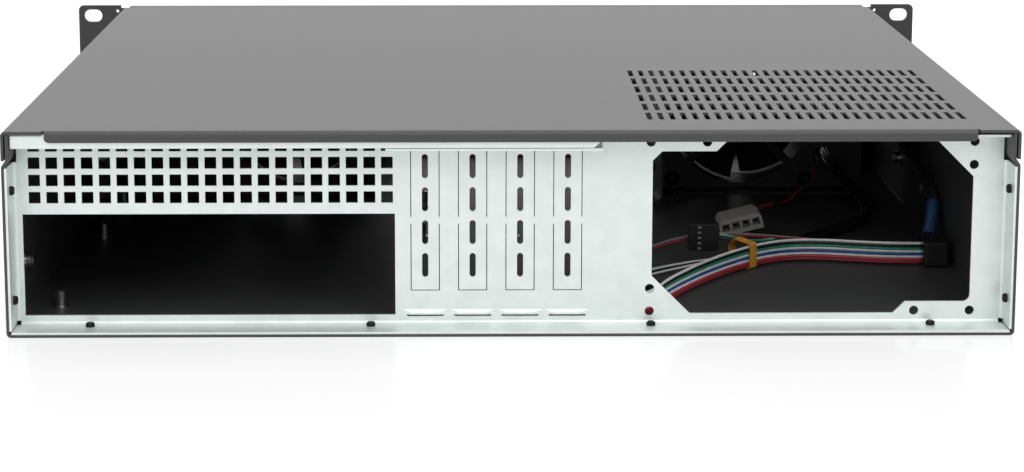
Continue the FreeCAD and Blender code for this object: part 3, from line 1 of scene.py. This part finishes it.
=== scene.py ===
import json
import math
import bpy
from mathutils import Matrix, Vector


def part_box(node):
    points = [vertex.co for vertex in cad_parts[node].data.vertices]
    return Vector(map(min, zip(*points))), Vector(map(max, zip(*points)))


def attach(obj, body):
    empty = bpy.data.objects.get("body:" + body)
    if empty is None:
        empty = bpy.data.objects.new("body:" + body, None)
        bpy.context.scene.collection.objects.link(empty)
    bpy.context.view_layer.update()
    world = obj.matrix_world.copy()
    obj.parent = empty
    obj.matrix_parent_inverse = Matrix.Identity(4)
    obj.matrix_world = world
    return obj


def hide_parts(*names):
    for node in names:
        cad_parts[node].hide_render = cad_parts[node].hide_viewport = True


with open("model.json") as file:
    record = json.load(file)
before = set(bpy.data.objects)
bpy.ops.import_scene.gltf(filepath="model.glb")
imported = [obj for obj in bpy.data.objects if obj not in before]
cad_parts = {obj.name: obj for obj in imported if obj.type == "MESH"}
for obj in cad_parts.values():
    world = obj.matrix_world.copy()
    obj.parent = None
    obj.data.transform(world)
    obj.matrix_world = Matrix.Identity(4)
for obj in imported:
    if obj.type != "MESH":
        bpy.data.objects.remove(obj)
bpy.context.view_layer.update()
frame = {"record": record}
print("frame loaded")

millimetre = 0.001
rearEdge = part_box("base_tray")[1][1]   # Y of the case's rear edge
scene = bpy.context.scene
scene.view_settings.view_transform = "Standard"


# camera
cameraSetup = {
    "lens": 84.49,
    "sideways": 0.0229,    # from the middle of the case, towards +X
    "behind": 0.9878,      # from the rear edge
    "height": 0.2779,
    "turn": 0.0102,
    "tilt": 0.1688,
    "shift": (0.03, -0.15),
}


def makeCamera(setup):
    camera = bpy.data.objects.new("camera", bpy.data.cameras.new("camera"))
    scene.collection.objects.link(camera)
    camera.data.lens = setup["lens"]
    camera.data.sensor_width = 36
    camera.data.shift_x, camera.data.shift_y = setup["shift"]
    camera.data.clip_start = 0.05
    camera.location = (setup["sideways"], rearEdge + setup["behind"], setup["height"])
    level = math.cos(setup["tilt"])
    sideways, ahead = math.sin(setup["turn"]) * level, math.cos(setup["turn"]) * level
    aim = Vector((-sideways, -ahead, -math.sin(setup["tilt"])))
    camera.rotation_mode = "QUATERNION"
    camera.rotation_quaternion = aim.to_track_quat("-Z", "Y")
    scene.camera = camera


makeCamera(cameraSetup)
print("camera placed")


# materials
def hexColor(text):
    channels = [int(text[place:place + 2], 16) / 255 for place in (1, 3, 5)]
    linear = [c / 12.92 if c <= 0.04045 else ((c + 0.055) / 1.055) ** 2.4 for c in channels]
    return (*linear, 1.0)


def addNode(tree, kind, settings=None, links=None, **values):
    # settings are the node's own options, values its sockets by name, links its sockets by name or place
    node = tree.nodes.new(kind)
    for key, value in (settings or {}).items():
        setattr(node, key, value)
    for key, value in values.items():
        node.inputs[key.replace("_", " ")].default_value = value
    for key, source in (links or {}).items():
        tree.links.new(source, node.inputs[key])
    return node


def newMaterial(name, **values):
    material = bpy.data.materials.new(name)
    material.use_nodes = True
    tree = material.node_tree
    tree.nodes.clear()
    shader = addNode(tree, "ShaderNodeBsdfPrincipled", **values)
    output = addNode(tree, "ShaderNodeOutputMaterial", links={"Surface": shader.outputs[0]})
    place = addNode(tree, "ShaderNodeTexCoord").outputs["Object"]
    return material, tree, shader, output, place


def addGrain(tree, shader, place, size, depth, detail=2.0, texture="ShaderNodeTexNoise"):
    # bump from a fine pattern whose grains are size metres across
    pattern = addNode(tree, texture, links={"Vector": place}, Scale=1 / size)
    if texture == "ShaderNodeTexNoise":
        pattern.inputs["Detail"].default_value = detail
    bump = addNode(tree, "ShaderNodeBump", links={"Height": pattern.outputs[0]}, Strength=1.0, Distance=depth)
    tree.links.new(bump.outputs[0], shader.inputs["Normal"])
    return pattern.outputs[0]


def addTint(tree, shader, source, low, high, colors):
    ramp = addNode(tree, "ShaderNodeValToRGB", links={"Fac": source})
    for stop, position, color in zip(ramp.color_ramp.elements, (low, high), colors):
        stop.position = position
        stop.color = hexColor(color)
    tree.links.new(ramp.outputs[0], shader.inputs["Base Color"])


def addRoughness(tree, shader, source, low, high):
    span = addNode(tree, "ShaderNodeMapRange", links={"Value": source})
    span.inputs["From Min"].default_value = 0.3
    span.inputs["From Max"].default_value = 0.7
    span.inputs["To Min"].default_value = low
    span.inputs["To Max"].default_value = high
    tree.links.new(span.outputs[0], shader.inputs["Roughness"])


def powderCoat(name, dark, light, roughness):
    # textured powder coat, sprayed and baked: a fine orange-peel grain that breaks up the gloss
    material, tree, shader, output, place = newMaterial(name, Roughness=roughness, IOR=1.5)
    grain = addGrain(tree, shader, place, 0.0009, 0.00010, 3.0)
    addTint(tree, shader, grain, 0.35, 0.65, (dark, light))
    return material


def zincSheet(name, dark, light):
    # hot-dip zinc on folded steel: an even pale grey, softly mottled, with faint rolling lines
    material, tree, shader, output, place = newMaterial(name, Metallic=0.5, Roughness=0.42)
    noise = addNode(tree, "ShaderNodeTexNoise", links={"Vector": place}, Scale=1 / 0.009, Detail=4.0)
    mottle = noise.outputs[0]
    addTint(tree, shader, mottle, 0.35, 0.65, (dark, light))
    addRoughness(tree, shader, mottle, 0.38, 0.46)
    stretch = addNode(tree, "ShaderNodeMapping", links={"Vector": place}, Scale=(0.05, 1.0, 1.0))
    addGrain(tree, shader, stretch.outputs[0], 0.0008, 0.000004, 1.0)
    return material


def turnedSteel(name, color, paler, roughness=0.28):
    # turned steel, plated: bright, with fine marks left by the tool
    material, tree, shader, output, place = newMaterial(name, Metallic=1.0, Roughness=roughness)
    grain = addGrain(tree, shader, place, 0.0006, 0.00001, 1.0)
    addTint(tree, shader, grain, 0.3, 0.7, (color, paler))
    return material


def mouldedPlastic(name, color, paler, roughness, size=0.0006, depth=0.00002):
    # injection-moulded plastic: an even colour with a fine eroded grain from the mould
    material, tree, shader, output, place = newMaterial(name, Roughness=roughness, IOR=1.48)
    grain = addGrain(tree, shader, place, size, depth, 2.0)
    addTint(tree, shader, grain, 0.35, 0.65, (color, paler))
    return material


def wireSleeve(name, color, paler, roughness=0.38):
    # extruded vinyl sleeve: soft sheen, a slow wave where it was drawn off the reel
    material, tree, shader, output, place = newMaterial(name, Roughness=roughness, IOR=1.52)
    grain = addGrain(tree, shader, place, 0.004, 0.00006, 1.0)
    addTint(tree, shader, grain, 0.35, 0.65, (color, paler))
    return material


finishes = {
    "tray_black": powderCoat("trayPowderCoat", "#343535", "#3a3b3b", 0.5),
    "cover_grey": powderCoat("coverPowderCoat", "#363535", "#3c3b3b", 0.5),
    "panel_black": powderCoat("panelPowderCoat", "#2b2b2c", "#313132", 0.5),
    "inner_black": powderCoat("innerPowderCoat", "#232424", "#292a2a", 0.6),
    "zinc": zincSheet("zincCoatedSheet", "#d7dedc", "#dee5e3"),
    "black_steel": turnedSteel("blackenedSteel", "#292929", "#303030", 0.4),
    "bright_steel": turnedSteel("zincPlatedSteel", "#b6b6b2", "#bebeba"),
    "handle_metal": turnedSteel("satinAluminium", "#a3a4a4", "#a9aaaa", 0.35),
    "fan_black": mouldedPlastic("fanPolyester", "#0f0f0f", "#131313", 0.7),
    "circuit_board": mouldedPlastic("solderMask", "#12402a", "#184a31", 0.3),
    "switch_plastic": mouldedPlastic("switchNylon", "#222222", "#2a2a2a", 0.4),
    "button_plastic": mouldedPlastic("buttonPlastic", "#2b2b2b", "#303030", 0.3),
    "light_plastic": mouldedPlastic("lightLens", "#c9d2cf", "#d4dcd9", 0.15),
    "port_metal": turnedSteel("nickelPlatedShell", "#b1b1ad", "#b8b8b4", 0.25),
    "nylon": mouldedPlastic("naturalNylon", "#a7a49b", "#b3b0a7", 0.45),
    "black_wire": wireSleeve("blackVinyl", "#161616", "#1c1c1c", 0.3),
    "red_wire": wireSleeve("redVinyl", "#8e2430", "#9c2d3a"),
    "white_wire": wireSleeve("whiteVinyl", "#e6e8e8", "#f0f1f1"),
    "plug_black": mouldedPlastic("plugPolyester", "#101010", "#151515", 0.5),
    "blue_tape": wireSleeve("blueTape", "#203c6a", "#284878", 0.5),
    "orange_tie": wireSleeve("orangePaperTie", "#d28f2c", "#e0a23c", 0.6),
}
wireFinishes = {
    "white": finishes["white_wire"],
    "black": finishes["black_wire"],
    "green": wireSleeve("greenVinyl", "#2f8a6c", "#39967a"),
    "blue": wireSleeve("blueVinyl", "#2c5496", "#3560a4"),
    "red": wireSleeve("brightRedVinyl", "#b83846", "#c6424f"),
    "darkRed": wireSleeve("darkRedVinyl", "#8f2a38", "#9d3340"),
    "grey": wireSleeve("greyVinyl", "#7f8383", "#8b8f8f"),
}
slotOf = {entry["node"]: entry["material_slot"] for entry in frame["record"]["subparts"]}
for node, slotName in slotOf.items():
    target = bpy.data.objects[node]
    if not target.material_slots:
        target.data.materials.append(finishes[slotName])
    for slot in target.material_slots:
        slot.material = finishes[slotName]
print("finishes given to", len(slotOf), "nodes")


# leads
def placeOf(along, depth, height):
    # millimetres towards -X, in from the rear edge, and up
    return Vector((-along * millimetre, rearEdge - depth * millimetre, height * millimetre))


leadRoutes = {
    "panel_harness": [
        (195, 370.4, 50), (195, 356, 50), (198, 338, 48.4), (202.5, 318, 46), (204.8, 297, 44),
        (205.6, 275, 43), (205.3, 253, 42), (205.8, 232, 41), (205.4, 212, 40), (205.9, 193, 38.3),
        (206.2, 176, 35), (207.2, 163.5, 31.6), (208.3, 153, 27), (207, 144.8, 21), (204.4, 137.4, 14.4),
        (201.4, 131, 8.8),
    ],
    "black_lead": [
        (190.5, 370.4, 30), (190.5, 356, 30), (187.5, 338, 27.6), (182.9, 320, 24), (178.8, 304, 21),
        (176.9, 288, 19.4), (177.4, 272, 17.8), (180.5, 255, 15), (185.4, 238, 11.2), (187.6, 221, 7.4),
        (184.8, 205, 5.2), (176, 191, 4.8), (164.5, 177.5, 4.8), (152, 164, 4.9), (140, 150, 4.8),
        (128, 135.5, 4.9), (115.5, 120, 5), (101.5, 104.5, 5), (87, 86, 4.9), (73.5, 68, 4.9),
        (60, 53.5, 5), (47.5, 43, 5),
    ],
    "usb_lead": [
        (197.5, 123.8, 10.2), (189, 123.8, 10.2), (178, 126.8, 9.6), (165, 131.8, 8.7), (150.5, 134, 8.2),
        (136.5, 132.8, 9.4), (124.5, 128.6, 10.8), (115.5, 124.9, 12.4), (108.2, 122.7, 14.2),
        (101, 122.7, 14.2),
    ],
    "switch_lead": [
        (197.5, 128.6, 8.6), (189, 128.6, 8.6), (178, 132, 8.2), (165, 137.2, 7.8), (150.5, 139.6, 8.2),
        (136, 138.8, 9.5), (122, 135.2, 11.4), (108.5, 131.4, 12.9), (95.5, 129, 13.2), (83, 126.2, 12.2),
        (71, 120.5, 10.2), (60, 112.8, 8.4), (50, 104.8, 8.4),
    ],
    "white_lead": [
        (117.4, 130.2, 3.4), (109.5, 126.2, 3.3), (99.5, 120.6, 3.4), (88, 113.2, 3.5), (76, 104, 3.7),
        (64.5, 93.6, 3.9), (54.5, 83.2, 3.9),
    ],
    "fan_lead": [
        (160.5, 302, 17), (166.6, 302, 17), (171.2, 297.8, 17.6), (172.6, 290, 18.4), (171.7, 280, 18.6),
        (169, 267, 17.6), (164.5, 253, 15.6), (158, 239, 12.8), (150, 226.5, 10.2), (141.6, 217.6, 8.7),
        (133.2, 214.2, 8.2), (126.4, 210, 8.2), (120.8, 205.7, 8.2), (117.8, 200, 8.2), (117.8, 193.6, 8.2),
    ],
    "ribbon_lead": [
        (197.5, 118.4, 7.2), (184, 118.4, 7.2), (168, 121.6, 7.2), (150, 126.3, 7.2), (134, 125.8, 7.2),
        (119, 117, 7.2), (104, 101.5, 7.2), (90, 83, 7.2), (78, 64, 7.2), (69.5, 48.5, 7.2), (64.5, 35, 7.2),
        (57.5, 25, 7.2), (47, 20.5, 7.2), (34, 19.2, 7.2),
    ],
}


def routeCurve(name, points):
    curve = bpy.data.curves.new(name, "CURVE")
    curve.dimensions = "3D"
    curve.resolution_u = 12
    spline = curve.splines.new("NURBS")
    spline.points.add(len(points) - 1)
    for knot, point in zip(spline.points, points):
        knot.co = (*placeOf(*point), 1)
    spline.order_u = 3
    spline.use_endpoint_u = True
    return curve


def routeLine(name):
    # points of the lead's own smooth line, as Blender draws it
    curve = routeCurve(name + "_line", leadRoutes[name])
    holder = bpy.data.objects.new(name + "_line", curve)
    line = bpy.data.meshes.new_from_object(holder)
    points = [vertex.co.copy() for vertex in line.vertices]
    bpy.data.objects.remove(holder)
    bpy.data.meshes.remove(line)
    bpy.data.curves.remove(curve)
    return points


def frames(points):
    # direction, sideways and up at each point of a line that never runs straight up
    for index, point in enumerate(points):
        before = points[max(index - 1, 0)]
        after = points[min(index + 1, len(points) - 1)]
        along = (after - before).normalized()
        sideways = along.cross(Vector((0, 0, 1))).normalized()
        yield point, along, sideways, sideways.cross(along)


def tubeMesh(lines, radii, sides=10):
    # one closed tube for each line: rings of corners, joined by strips, with flat ends
    verts, faces, kinds = [], [], []
    for kind, (points, radius) in enumerate(zip(lines, radii)):
        first = len(verts)
        for point, along, sideways, up in frames(points):
            for side in range(sides):
                turn = 2 * math.pi * side / sides
                verts.append(point + (sideways * math.cos(turn) + up * math.sin(turn)) * radius)
        for ring in range(len(points) - 1):
            for side in range(sides):
                a = first + ring * sides + side
                b = first + ring * sides + (side + 1) % sides
                faces.append((a, b, b + sides, a + sides))
                kinds.append(kind)
        faces.append(tuple(first + side for side in reversed(range(sides))))
        faces.append(tuple(first + (len(points) - 1) * sides + side for side in range(sides)))
        kinds += [kind, kind]
    return verts, faces, kinds


def pieceFrom(name, verts, faces, materials, kinds=None, smooth=True):
    mesh = bpy.data.meshes.new(name)
    mesh.from_pydata([tuple(vert) for vert in verts], [], faces)
    for material in materials:
        mesh.materials.append(material)
    if kinds:
        mesh.polygons.foreach_set("material_index", kinds)
    mesh.polygons.foreach_set("use_smooth", [smooth] * len(mesh.polygons))
    mesh.update()
    piece = bpy.data.objects.new(name, mesh)
    scene.collection.objects.link(piece)
    return piece


def offsetLine(points, across, up, twist=0.0, phase=0.0):
    # a wire beside the lead's line; twist is turns over the whole length
    moved = []
    for index, (point, along, sideways, upward) in enumerate(frames(points)):
        turn = 2 * math.pi * twist * index / (len(points) - 1) + phase
        a = across * math.cos(turn) - up * math.sin(turn)
        b = across * math.sin(turn) + up * math.cos(turn)
        moved.append(point + sideways * a * millimetre + upward * b * millimetre)
    return moved


def beadRing(count, offset, radius, finish):
    # places of wires laid side by side around a middle one
    turns = [2 * math.pi * index / count for index in range(count)]
    return [(offset * math.cos(turn), offset * math.sin(turn), radius, finish) for turn in turns]


# each lead: its wires as (sideways, up, radius, finish) in millimetres, its turns, and the bundle's size;
# loose holds wires that run on their own past the share of the length where the jacket stops
leadWires = {
    "panel_harness": {"size": 5.5, "twist": 3,
        "wires": beadRing(6, 1.85, 0.85, "black") + [(0, 0, 0.85, "grey")]},
    "black_lead": {"size": 5.6, "twist": 2.5,
        "wires": beadRing(6, 1.85, 0.9, "black") + [(0, 0, 0.9, "black")]},
    "usb_lead": {"size": 3.2, "twist": 0, "wires": [(0, 0, 1.55, "black")], "jacket": 0.66, "sag": 1.5,
        "loose": [(0.9, -0.6, 0.6, "darkRed"), (-0.5, 0.8, 0.6, "green"), (0.4, 0.9, 0.6, "white"),
            (-0.9, -0.5, 0.6, "black")]},
    "switch_lead": {"size": 2.4, "twist": 0.5, "wires": [(0, 0.5, 0.7, "darkRed"), (0.65, -0.6, 0.5, "grey"),
        (-0.55, -0.65, 0.5, "white")]},
    "white_lead": {"size": 3.0, "twist": 0.3, "wires": [(1.0, -0.4, 0.6, "white"), (0, 0.1, 0.6, "black"),
        (-0.9, 0.4, 0.6, "white")]},
    "fan_lead": {"size": 2.2, "twist": 6, "wires": [(-0.5, 0, 0.55, "black"), (0.5, 0, 0.55, "darkRed")]},
}
ribbonSetup = {
    "radius": 0.66,
    "pitch": 1.3,
    "topToBottom": ["white", "black", "green", "white", "blue", "white", "red", "darkRed"],
}


def makeLead(name):
    setup = leadWires[name]
    line = routeLine(name)
    stop = int(setup.get("jacket", 1.0) * (len(line) - 1)) + 1
    jacket = line[:stop]
    wires = [offsetLine(jacket, across, up, setup["twist"]) for across, up, radius, finish in setup["wires"]]
    rest = line[stop - 2:]
    for across, up, radius, finish in setup.get("loose", []):
        wires.append(sagging(offsetLine(rest, across, up), setup["sag"] * (1 + 0.3 * across)))
    parts = setup["wires"] + setup.get("loose", [])
    verts, faces, kinds = tubeMesh(wires, [radius * millimetre for across, up, radius, finish in parts])
    materials = [wireFinishes[finish] for across, up, radius, finish in parts]
    piece = pieceFrom(name + "_wires", verts, faces, materials, kinds)
    declareLead(piece, name)


def sagging(points, drop):
    # hangs between its two ends, lowest at the middle
    last = len(points) - 1
    return [point - Vector((0, 0, drop * millimetre * math.sin(math.pi * index / last)))
            for index, point in enumerate(points)]


def declareLead(piece, name):
    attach(piece, "case")
    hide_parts(name)


def makeRibbon():
    line = routeLine("ribbon_lead")
    colors = ribbonSetup["topToBottom"]
    middle = (len(colors) - 1) / 2
    wires = [offsetLine(line, 0, (middle - row) * ribbonSetup["pitch"]) for row in range(len(colors))]
    verts, faces, kinds = tubeMesh(wires, [ribbonSetup["radius"] * millimetre] * len(wires), 12)
    piece = pieceFrom("ribbon_wires", verts, faces, [wireFinishes[color] for color in colors], kinds)
    declareLead(piece, "ribbon_lead")


for lead in leadWires:
    makeLead(lead)
makeRibbon()
print("leads laid:", len(leadWires) + 1)


# small repeated details
def newGrower(name, sockets):
    # a Geometry Nodes tree with named inputs; the geometry comes first, the finish last
    tree = bpy.data.node_groups.new(name, "GeometryNodeTree")
    tree.is_modifier = True
    for label, kind in (("Seed", "Geometry"), *sockets, ("Finish", "Material")):
        tree.interface.new_socket(label, in_out="INPUT", socket_type="NodeSocket" + kind)
    tree.interface.new_socket("Grown", in_out="OUTPUT", socket_type="NodeSocketGeometry")
    return tree, addNode(tree, "NodeGroupInput").outputs


def closeGrower(tree, given, spots, shape, turn=None):
    # one shape on every spot, made real and given its finish
    links = {"Points": spots, "Instance": shape}
    if turn:
        links["Rotation"] = turn
    copies = addNode(tree, "GeometryNodeInstanceOnPoints", links=links)
    real = addNode(tree, "GeometryNodeRealizeInstances", links={0: copies.outputs[0]})
    done = addNode(tree, "GeometryNodeSetMaterial", links={0: real.outputs[0], "Material": given["Finish"]})
    addNode(tree, "NodeGroupOutput", links={0: done.outputs[0]})
    return tree


def straightRow(tree, given):
    links = {"Count": given["Count"], "Start Location": given["Start"], "Offset": given["Step"]}
    return addNode(tree, "GeometryNodeMeshLine", {"mode": "OFFSET"}, links).outputs[0]


def ridge(tree, given, around=16):
    # a thin raised ring
    circle = "GeometryNodeCurvePrimitiveCircle"
    ring = addNode(tree, circle, links={"Radius": given["Radius"]}, Resolution=around)
    cut = addNode(tree, circle, links={"Radius": given["Ridge"]}, Resolution=4)
    return addNode(tree, "GeometryNodeCurveToMesh", links={0: ring.outputs[0], 1: cut.outputs[0]}).outputs[0]


def blockRow():
    # a row of small blocks, such as contacts
    sockets = (("Count", "Int"), ("Start", "Vector"), ("Step", "Vector"), ("Size", "Vector"))
    tree, given = newGrower("blockRow", sockets)
    block = addNode(tree, "GeometryNodeMeshCube", links={"Size": given["Size"]}).outputs[0]
    return closeGrower(tree, given, straightRow(tree, given), block)


def ringRow():
    # a row of rings that all face one way, such as a screw's thread or the mouths of contacts
    sockets = (("Count", "Int"), ("Start", "Vector"), ("Step", "Vector"), ("Facing", "Vector"),
               ("Radius", "Float"), ("Ridge", "Float"))
    tree, given = newGrower("ringRow", sockets)
    turn = addNode(tree, "FunctionNodeAlignRotationToVector", {"axis": "Z"}, {"Vector": given["Facing"]})
    return closeGrower(tree, given, straightRow(tree, given), ridge(tree, given), turn.outputs[0])


def wrapRings():
    # rings set square to a line, such as the turns of a tape
    sockets = (("Count", "Int"), ("Radius", "Float"), ("Ridge", "Float"))
    tree, given = newGrower("wrapRings", sockets)
    line = addNode(tree, "GeometryNodeMeshToCurve", links={0: given["Seed"]}).outputs[0]
    spots = addNode(tree, "GeometryNodeCurveToPoints", {"mode": "COUNT"}, {0: line, "Count": given["Count"]})
    return closeGrower(tree, given, spots.outputs[0], ridge(tree, given, 20), spots.outputs["Rotation"])


def domeGrid():
    # rows and columns of small round beads, such as solder joints
    sockets = (("Rows", "Int"), ("Row Step", "Vector"), ("Count", "Int"), ("Start", "Vector"),
               ("Step", "Vector"), ("Radius", "Float"))
    tree, given = newGrower("domeGrid", sockets)
    up = addNode(tree, "GeometryNodeMeshLine", {"mode": "OFFSET"},
                 {"Count": given["Rows"], "Offset": given["Row Step"]})
    rows = addNode(tree, "GeometryNodeInstanceOnPoints",
                   links={"Points": up.outputs[0], "Instance": straightRow(tree, given)})
    spots = addNode(tree, "GeometryNodeRealizeInstances", links={0: rows.outputs[0]}).outputs[0]
    dome = addNode(tree, "GeometryNodeMeshIcoSphere", links={"Radius": given["Radius"]}, Subdivisions=2)
    return closeGrower(tree, given, spots, dome.outputs[0])


def grow(name, tree, values, slot, seed=((0, 0, 0),)):
    # the tree's inputs are set once, and its result is kept as plain mesh
    edges = [(index, index + 1) for index in range(len(seed) - 1)]
    mesh = bpy.data.meshes.new(name + "_seed")
    mesh.from_pydata([tuple(point) for point in seed], edges, [])
    holder = bpy.data.objects.new(name + "_seed", mesh)
    scene.collection.objects.link(holder)
    modifier = holder.modifiers.new("grow", "NODES")
    modifier.node_group = tree
    for item in tree.interface.items_tree:
        if item.in_out == "INPUT" and item.name in values:
            modifier[item.identifier] = values[item.name]
        if item.name == "Finish":
            modifier[item.identifier] = finishes[slot]
    grown = bpy.data.meshes.new_from_object(holder.evaluated_get(bpy.context.evaluated_depsgraph_get()))
    holder.modifiers.remove(modifier)
    bpy.data.objects.remove(holder)
    piece = bpy.data.objects.new(name, grown)
    scene.collection.objects.link(piece)
    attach(piece, "case")


def metres(*lengths):
    return [length * millimetre for length in lengths]


# thread on the shanks of the screws, in millimetres: first rings, and the way inward for one turn
threadSetup = {"pitch": 0.5, "turns": 7, "radius": 1.42, "ridge": 0.09}
coverScrews = {"outset": 212.0, "height": 82.4, "rows": (189.5, 23.5, -152.0)}
panelScrews = {"outset": 207.3, "front": -176.3, "heights": (18.0, 62.0)}
headerContacts = {"along": -91.7, "faces": (93.1, 88.5), "lowest": 9.12, "pitch": 2.54, "count": 5,
    "size": (1.5, 0.3, 0.9)}
powerContacts = {"first": (-125.19, 37.5, 10.04), "step": (4.93, 0, -1.23), "count": 4,
    "radius": 1.3, "ridge": 0.3}
boardJoints = {"first": (-197, -164.8, 8.6), "pitch": 2.54, "rows": 6, "columns": 6, "radius": 0.55}
tapeSetup = {"low": 12.0, "high": 25.5, "turns": 9, "radius": 3.05, "ridge": 0.16}

blockRows = blockRow()
ringRows = ringRow()


def growThread(name, spot, inward):
    step = [share * threadSetup["pitch"] for share in inward]
    grow(name, ringRows, {"Count": threadSetup["turns"], "Start": metres(*spot), "Step": metres(*step),
        "Facing": metres(*step), "Radius": threadSetup["radius"] * millimetre,
        "Ridge": threadSetup["ridge"] * millimetre}, "black_steel")


def growThreads():
    covers = [(side, y) for side in (-1, 1) for y in coverScrews["rows"]]
    for index, (side, y) in enumerate(covers):
        spot = (side * coverScrews["outset"], y, coverScrews["height"])
        growThread(f"cover_thread_{index}", spot, (-side, 0, 0))
    panels = [(side, z) for side in (-1, 1) for z in panelScrews["heights"]]
    for index, (side, z) in enumerate(panels):
        spot = (side * panelScrews["outset"], panelScrews["front"], z)
        growThread(f"panel_thread_{index}", spot, (0, 1, 0))


def growContacts():
    for index, face in enumerate(headerContacts["faces"]):
        start = metres(headerContacts["along"], face, headerContacts["lowest"])
        grow(f"header_contacts_{index}", blockRows, {"Count": headerContacts["count"], "Start": start,
            "Step": metres(0, 0, headerContacts["pitch"]), "Size": metres(*headerContacts["size"])}, "nylon")
    start = metres(*powerContacts["first"])
    grow("power_contacts", ringRows, {"Count": powerContacts["count"], "Start": start,
        "Step": metres(*powerContacts["step"]), "Facing": (0.0, 1.0, 0.0),
        "Radius": powerContacts["radius"] * millimetre, "Ridge": powerContacts["ridge"] * millimetre},
        "bright_steel")


def growJoints():
    pitch = boardJoints["pitch"]
    grow("board_joints", domeGrid(), {"Rows": boardJoints["rows"], "Row Step": metres(0, 0, pitch),
        "Count": boardJoints["columns"], "Start": metres(*boardJoints["first"]), "Step": metres(pitch, 0, 0),
        "Radius": boardJoints["radius"] * millimetre}, "bright_steel")


def growTape():
    low, high = metres(tapeSetup["low"], tapeSetup["high"])
    line = [point for point in routeLine("panel_harness") if low < point.z < high]
    grow("tape_turns", wrapRings(), {"Count": tapeSetup["turns"], "Radius": tapeSetup["radius"] * millimetre,
        "Ridge": tapeSetup["ridge"] * millimetre}, "blue_tape", line)


growThreads()
growContacts()
growJoints()
growTape()
print("details grown")


# floor, lights and background
stageSetup = {
    "floor": 6.0,
    "floorColor": "#f4f4f4",
    "floorRoughness": 0.18,
    "key": {"place": (-1.2, 2.6, 2.4), "size": (2.0, 2.0), "power": 48},
    "fill": {"place": (1.8, 2.2, 1.2), "size": (2.0, 2.0), "power": 22},
    "top": {"place": (0.0, 0.2, 2.6), "size": (3.0, 3.0), "power": 45},
    "back": {"place": (0.0, -2.6, 1.1), "size": (4.5, 1.8), "power": 34},
    "sky": 0.55,
}


def makeFloor():
    half = stageSetup["floor"] / 2
    corners = [(-half, -half, 0), (half, -half, 0), (half, half, 0), (-half, half, 0)]
    floor = pieceFrom("floor", corners, [(0, 1, 2, 3)], [])
    material = bpy.data.materials.new("whiteSweep")
    material.use_nodes = True
    tree = material.node_tree
    tree.nodes.clear()
    # painted board under soft light: matt white with a faint gloss near the object
    paint = addNode(tree, "ShaderNodeBsdfPrincipled", Roughness=stageSetup["floorRoughness"], IOR=1.45)
    paint.inputs["Base Color"].default_value = hexColor(stageSetup["floorColor"])
    glow = addNode(tree, "ShaderNodeEmission", Strength=1.0)
    glow.inputs["Color"].default_value = hexColor("#ffffff")
    mix = addNode(tree, "ShaderNodeMixShader", links={1: paint.outputs[0], 2: glow.outputs[0]}, Fac=0.45)
    addNode(tree, "ShaderNodeOutputMaterial", links={"Surface": mix.outputs[0]})
    floor.data.materials.append(material)


def makeLight(name, setup):
    lamp = bpy.data.lights.new(name, "AREA")
    lamp.shape = "RECTANGLE"
    lamp.size, lamp.size_y = setup["size"]
    lamp.energy = setup["power"]
    light = bpy.data.objects.new(name, lamp)
    light.location = setup["place"]
    light.rotation_mode = "QUATERNION"
    light.rotation_quaternion = (-Vector(setup["place"])).to_track_quat("-Z", "Y")
    light.visible_camera = False
    scene.collection.objects.link(light)


def makeSky():
    world = bpy.data.worlds.new("studio")
    scene.world = world
    world.use_nodes = True
    tree = world.node_tree
    tree.nodes.clear()
    seen = addNode(tree, "ShaderNodeLightPath")
    direct = addNode(tree, "ShaderNodeMath", {"operation": "MAXIMUM"},
                     {0: seen.outputs["Is Camera Ray"], 1: seen.outputs["Is Transmission Ray"]})
    strength = addNode(tree, "ShaderNodeMapRange", links={"Value": direct.outputs[0]})
    strength.inputs["To Min"].default_value = stageSetup["sky"]
    strength.inputs["To Max"].default_value = 1.0
    backdrop = addNode(tree, "ShaderNodeBackground", links={"Strength": strength.outputs[0]})
    backdrop.inputs["Color"].default_value = hexColor("#ffffff")
    addNode(tree, "ShaderNodeOutputWorld", links={"Surface": backdrop.outputs[0]})


makeFloor()
makeSky()
for lightName in ("key", "fill", "top", "back"):
    makeLight(lightName, stageSetup[lightName])
print("stage ready")
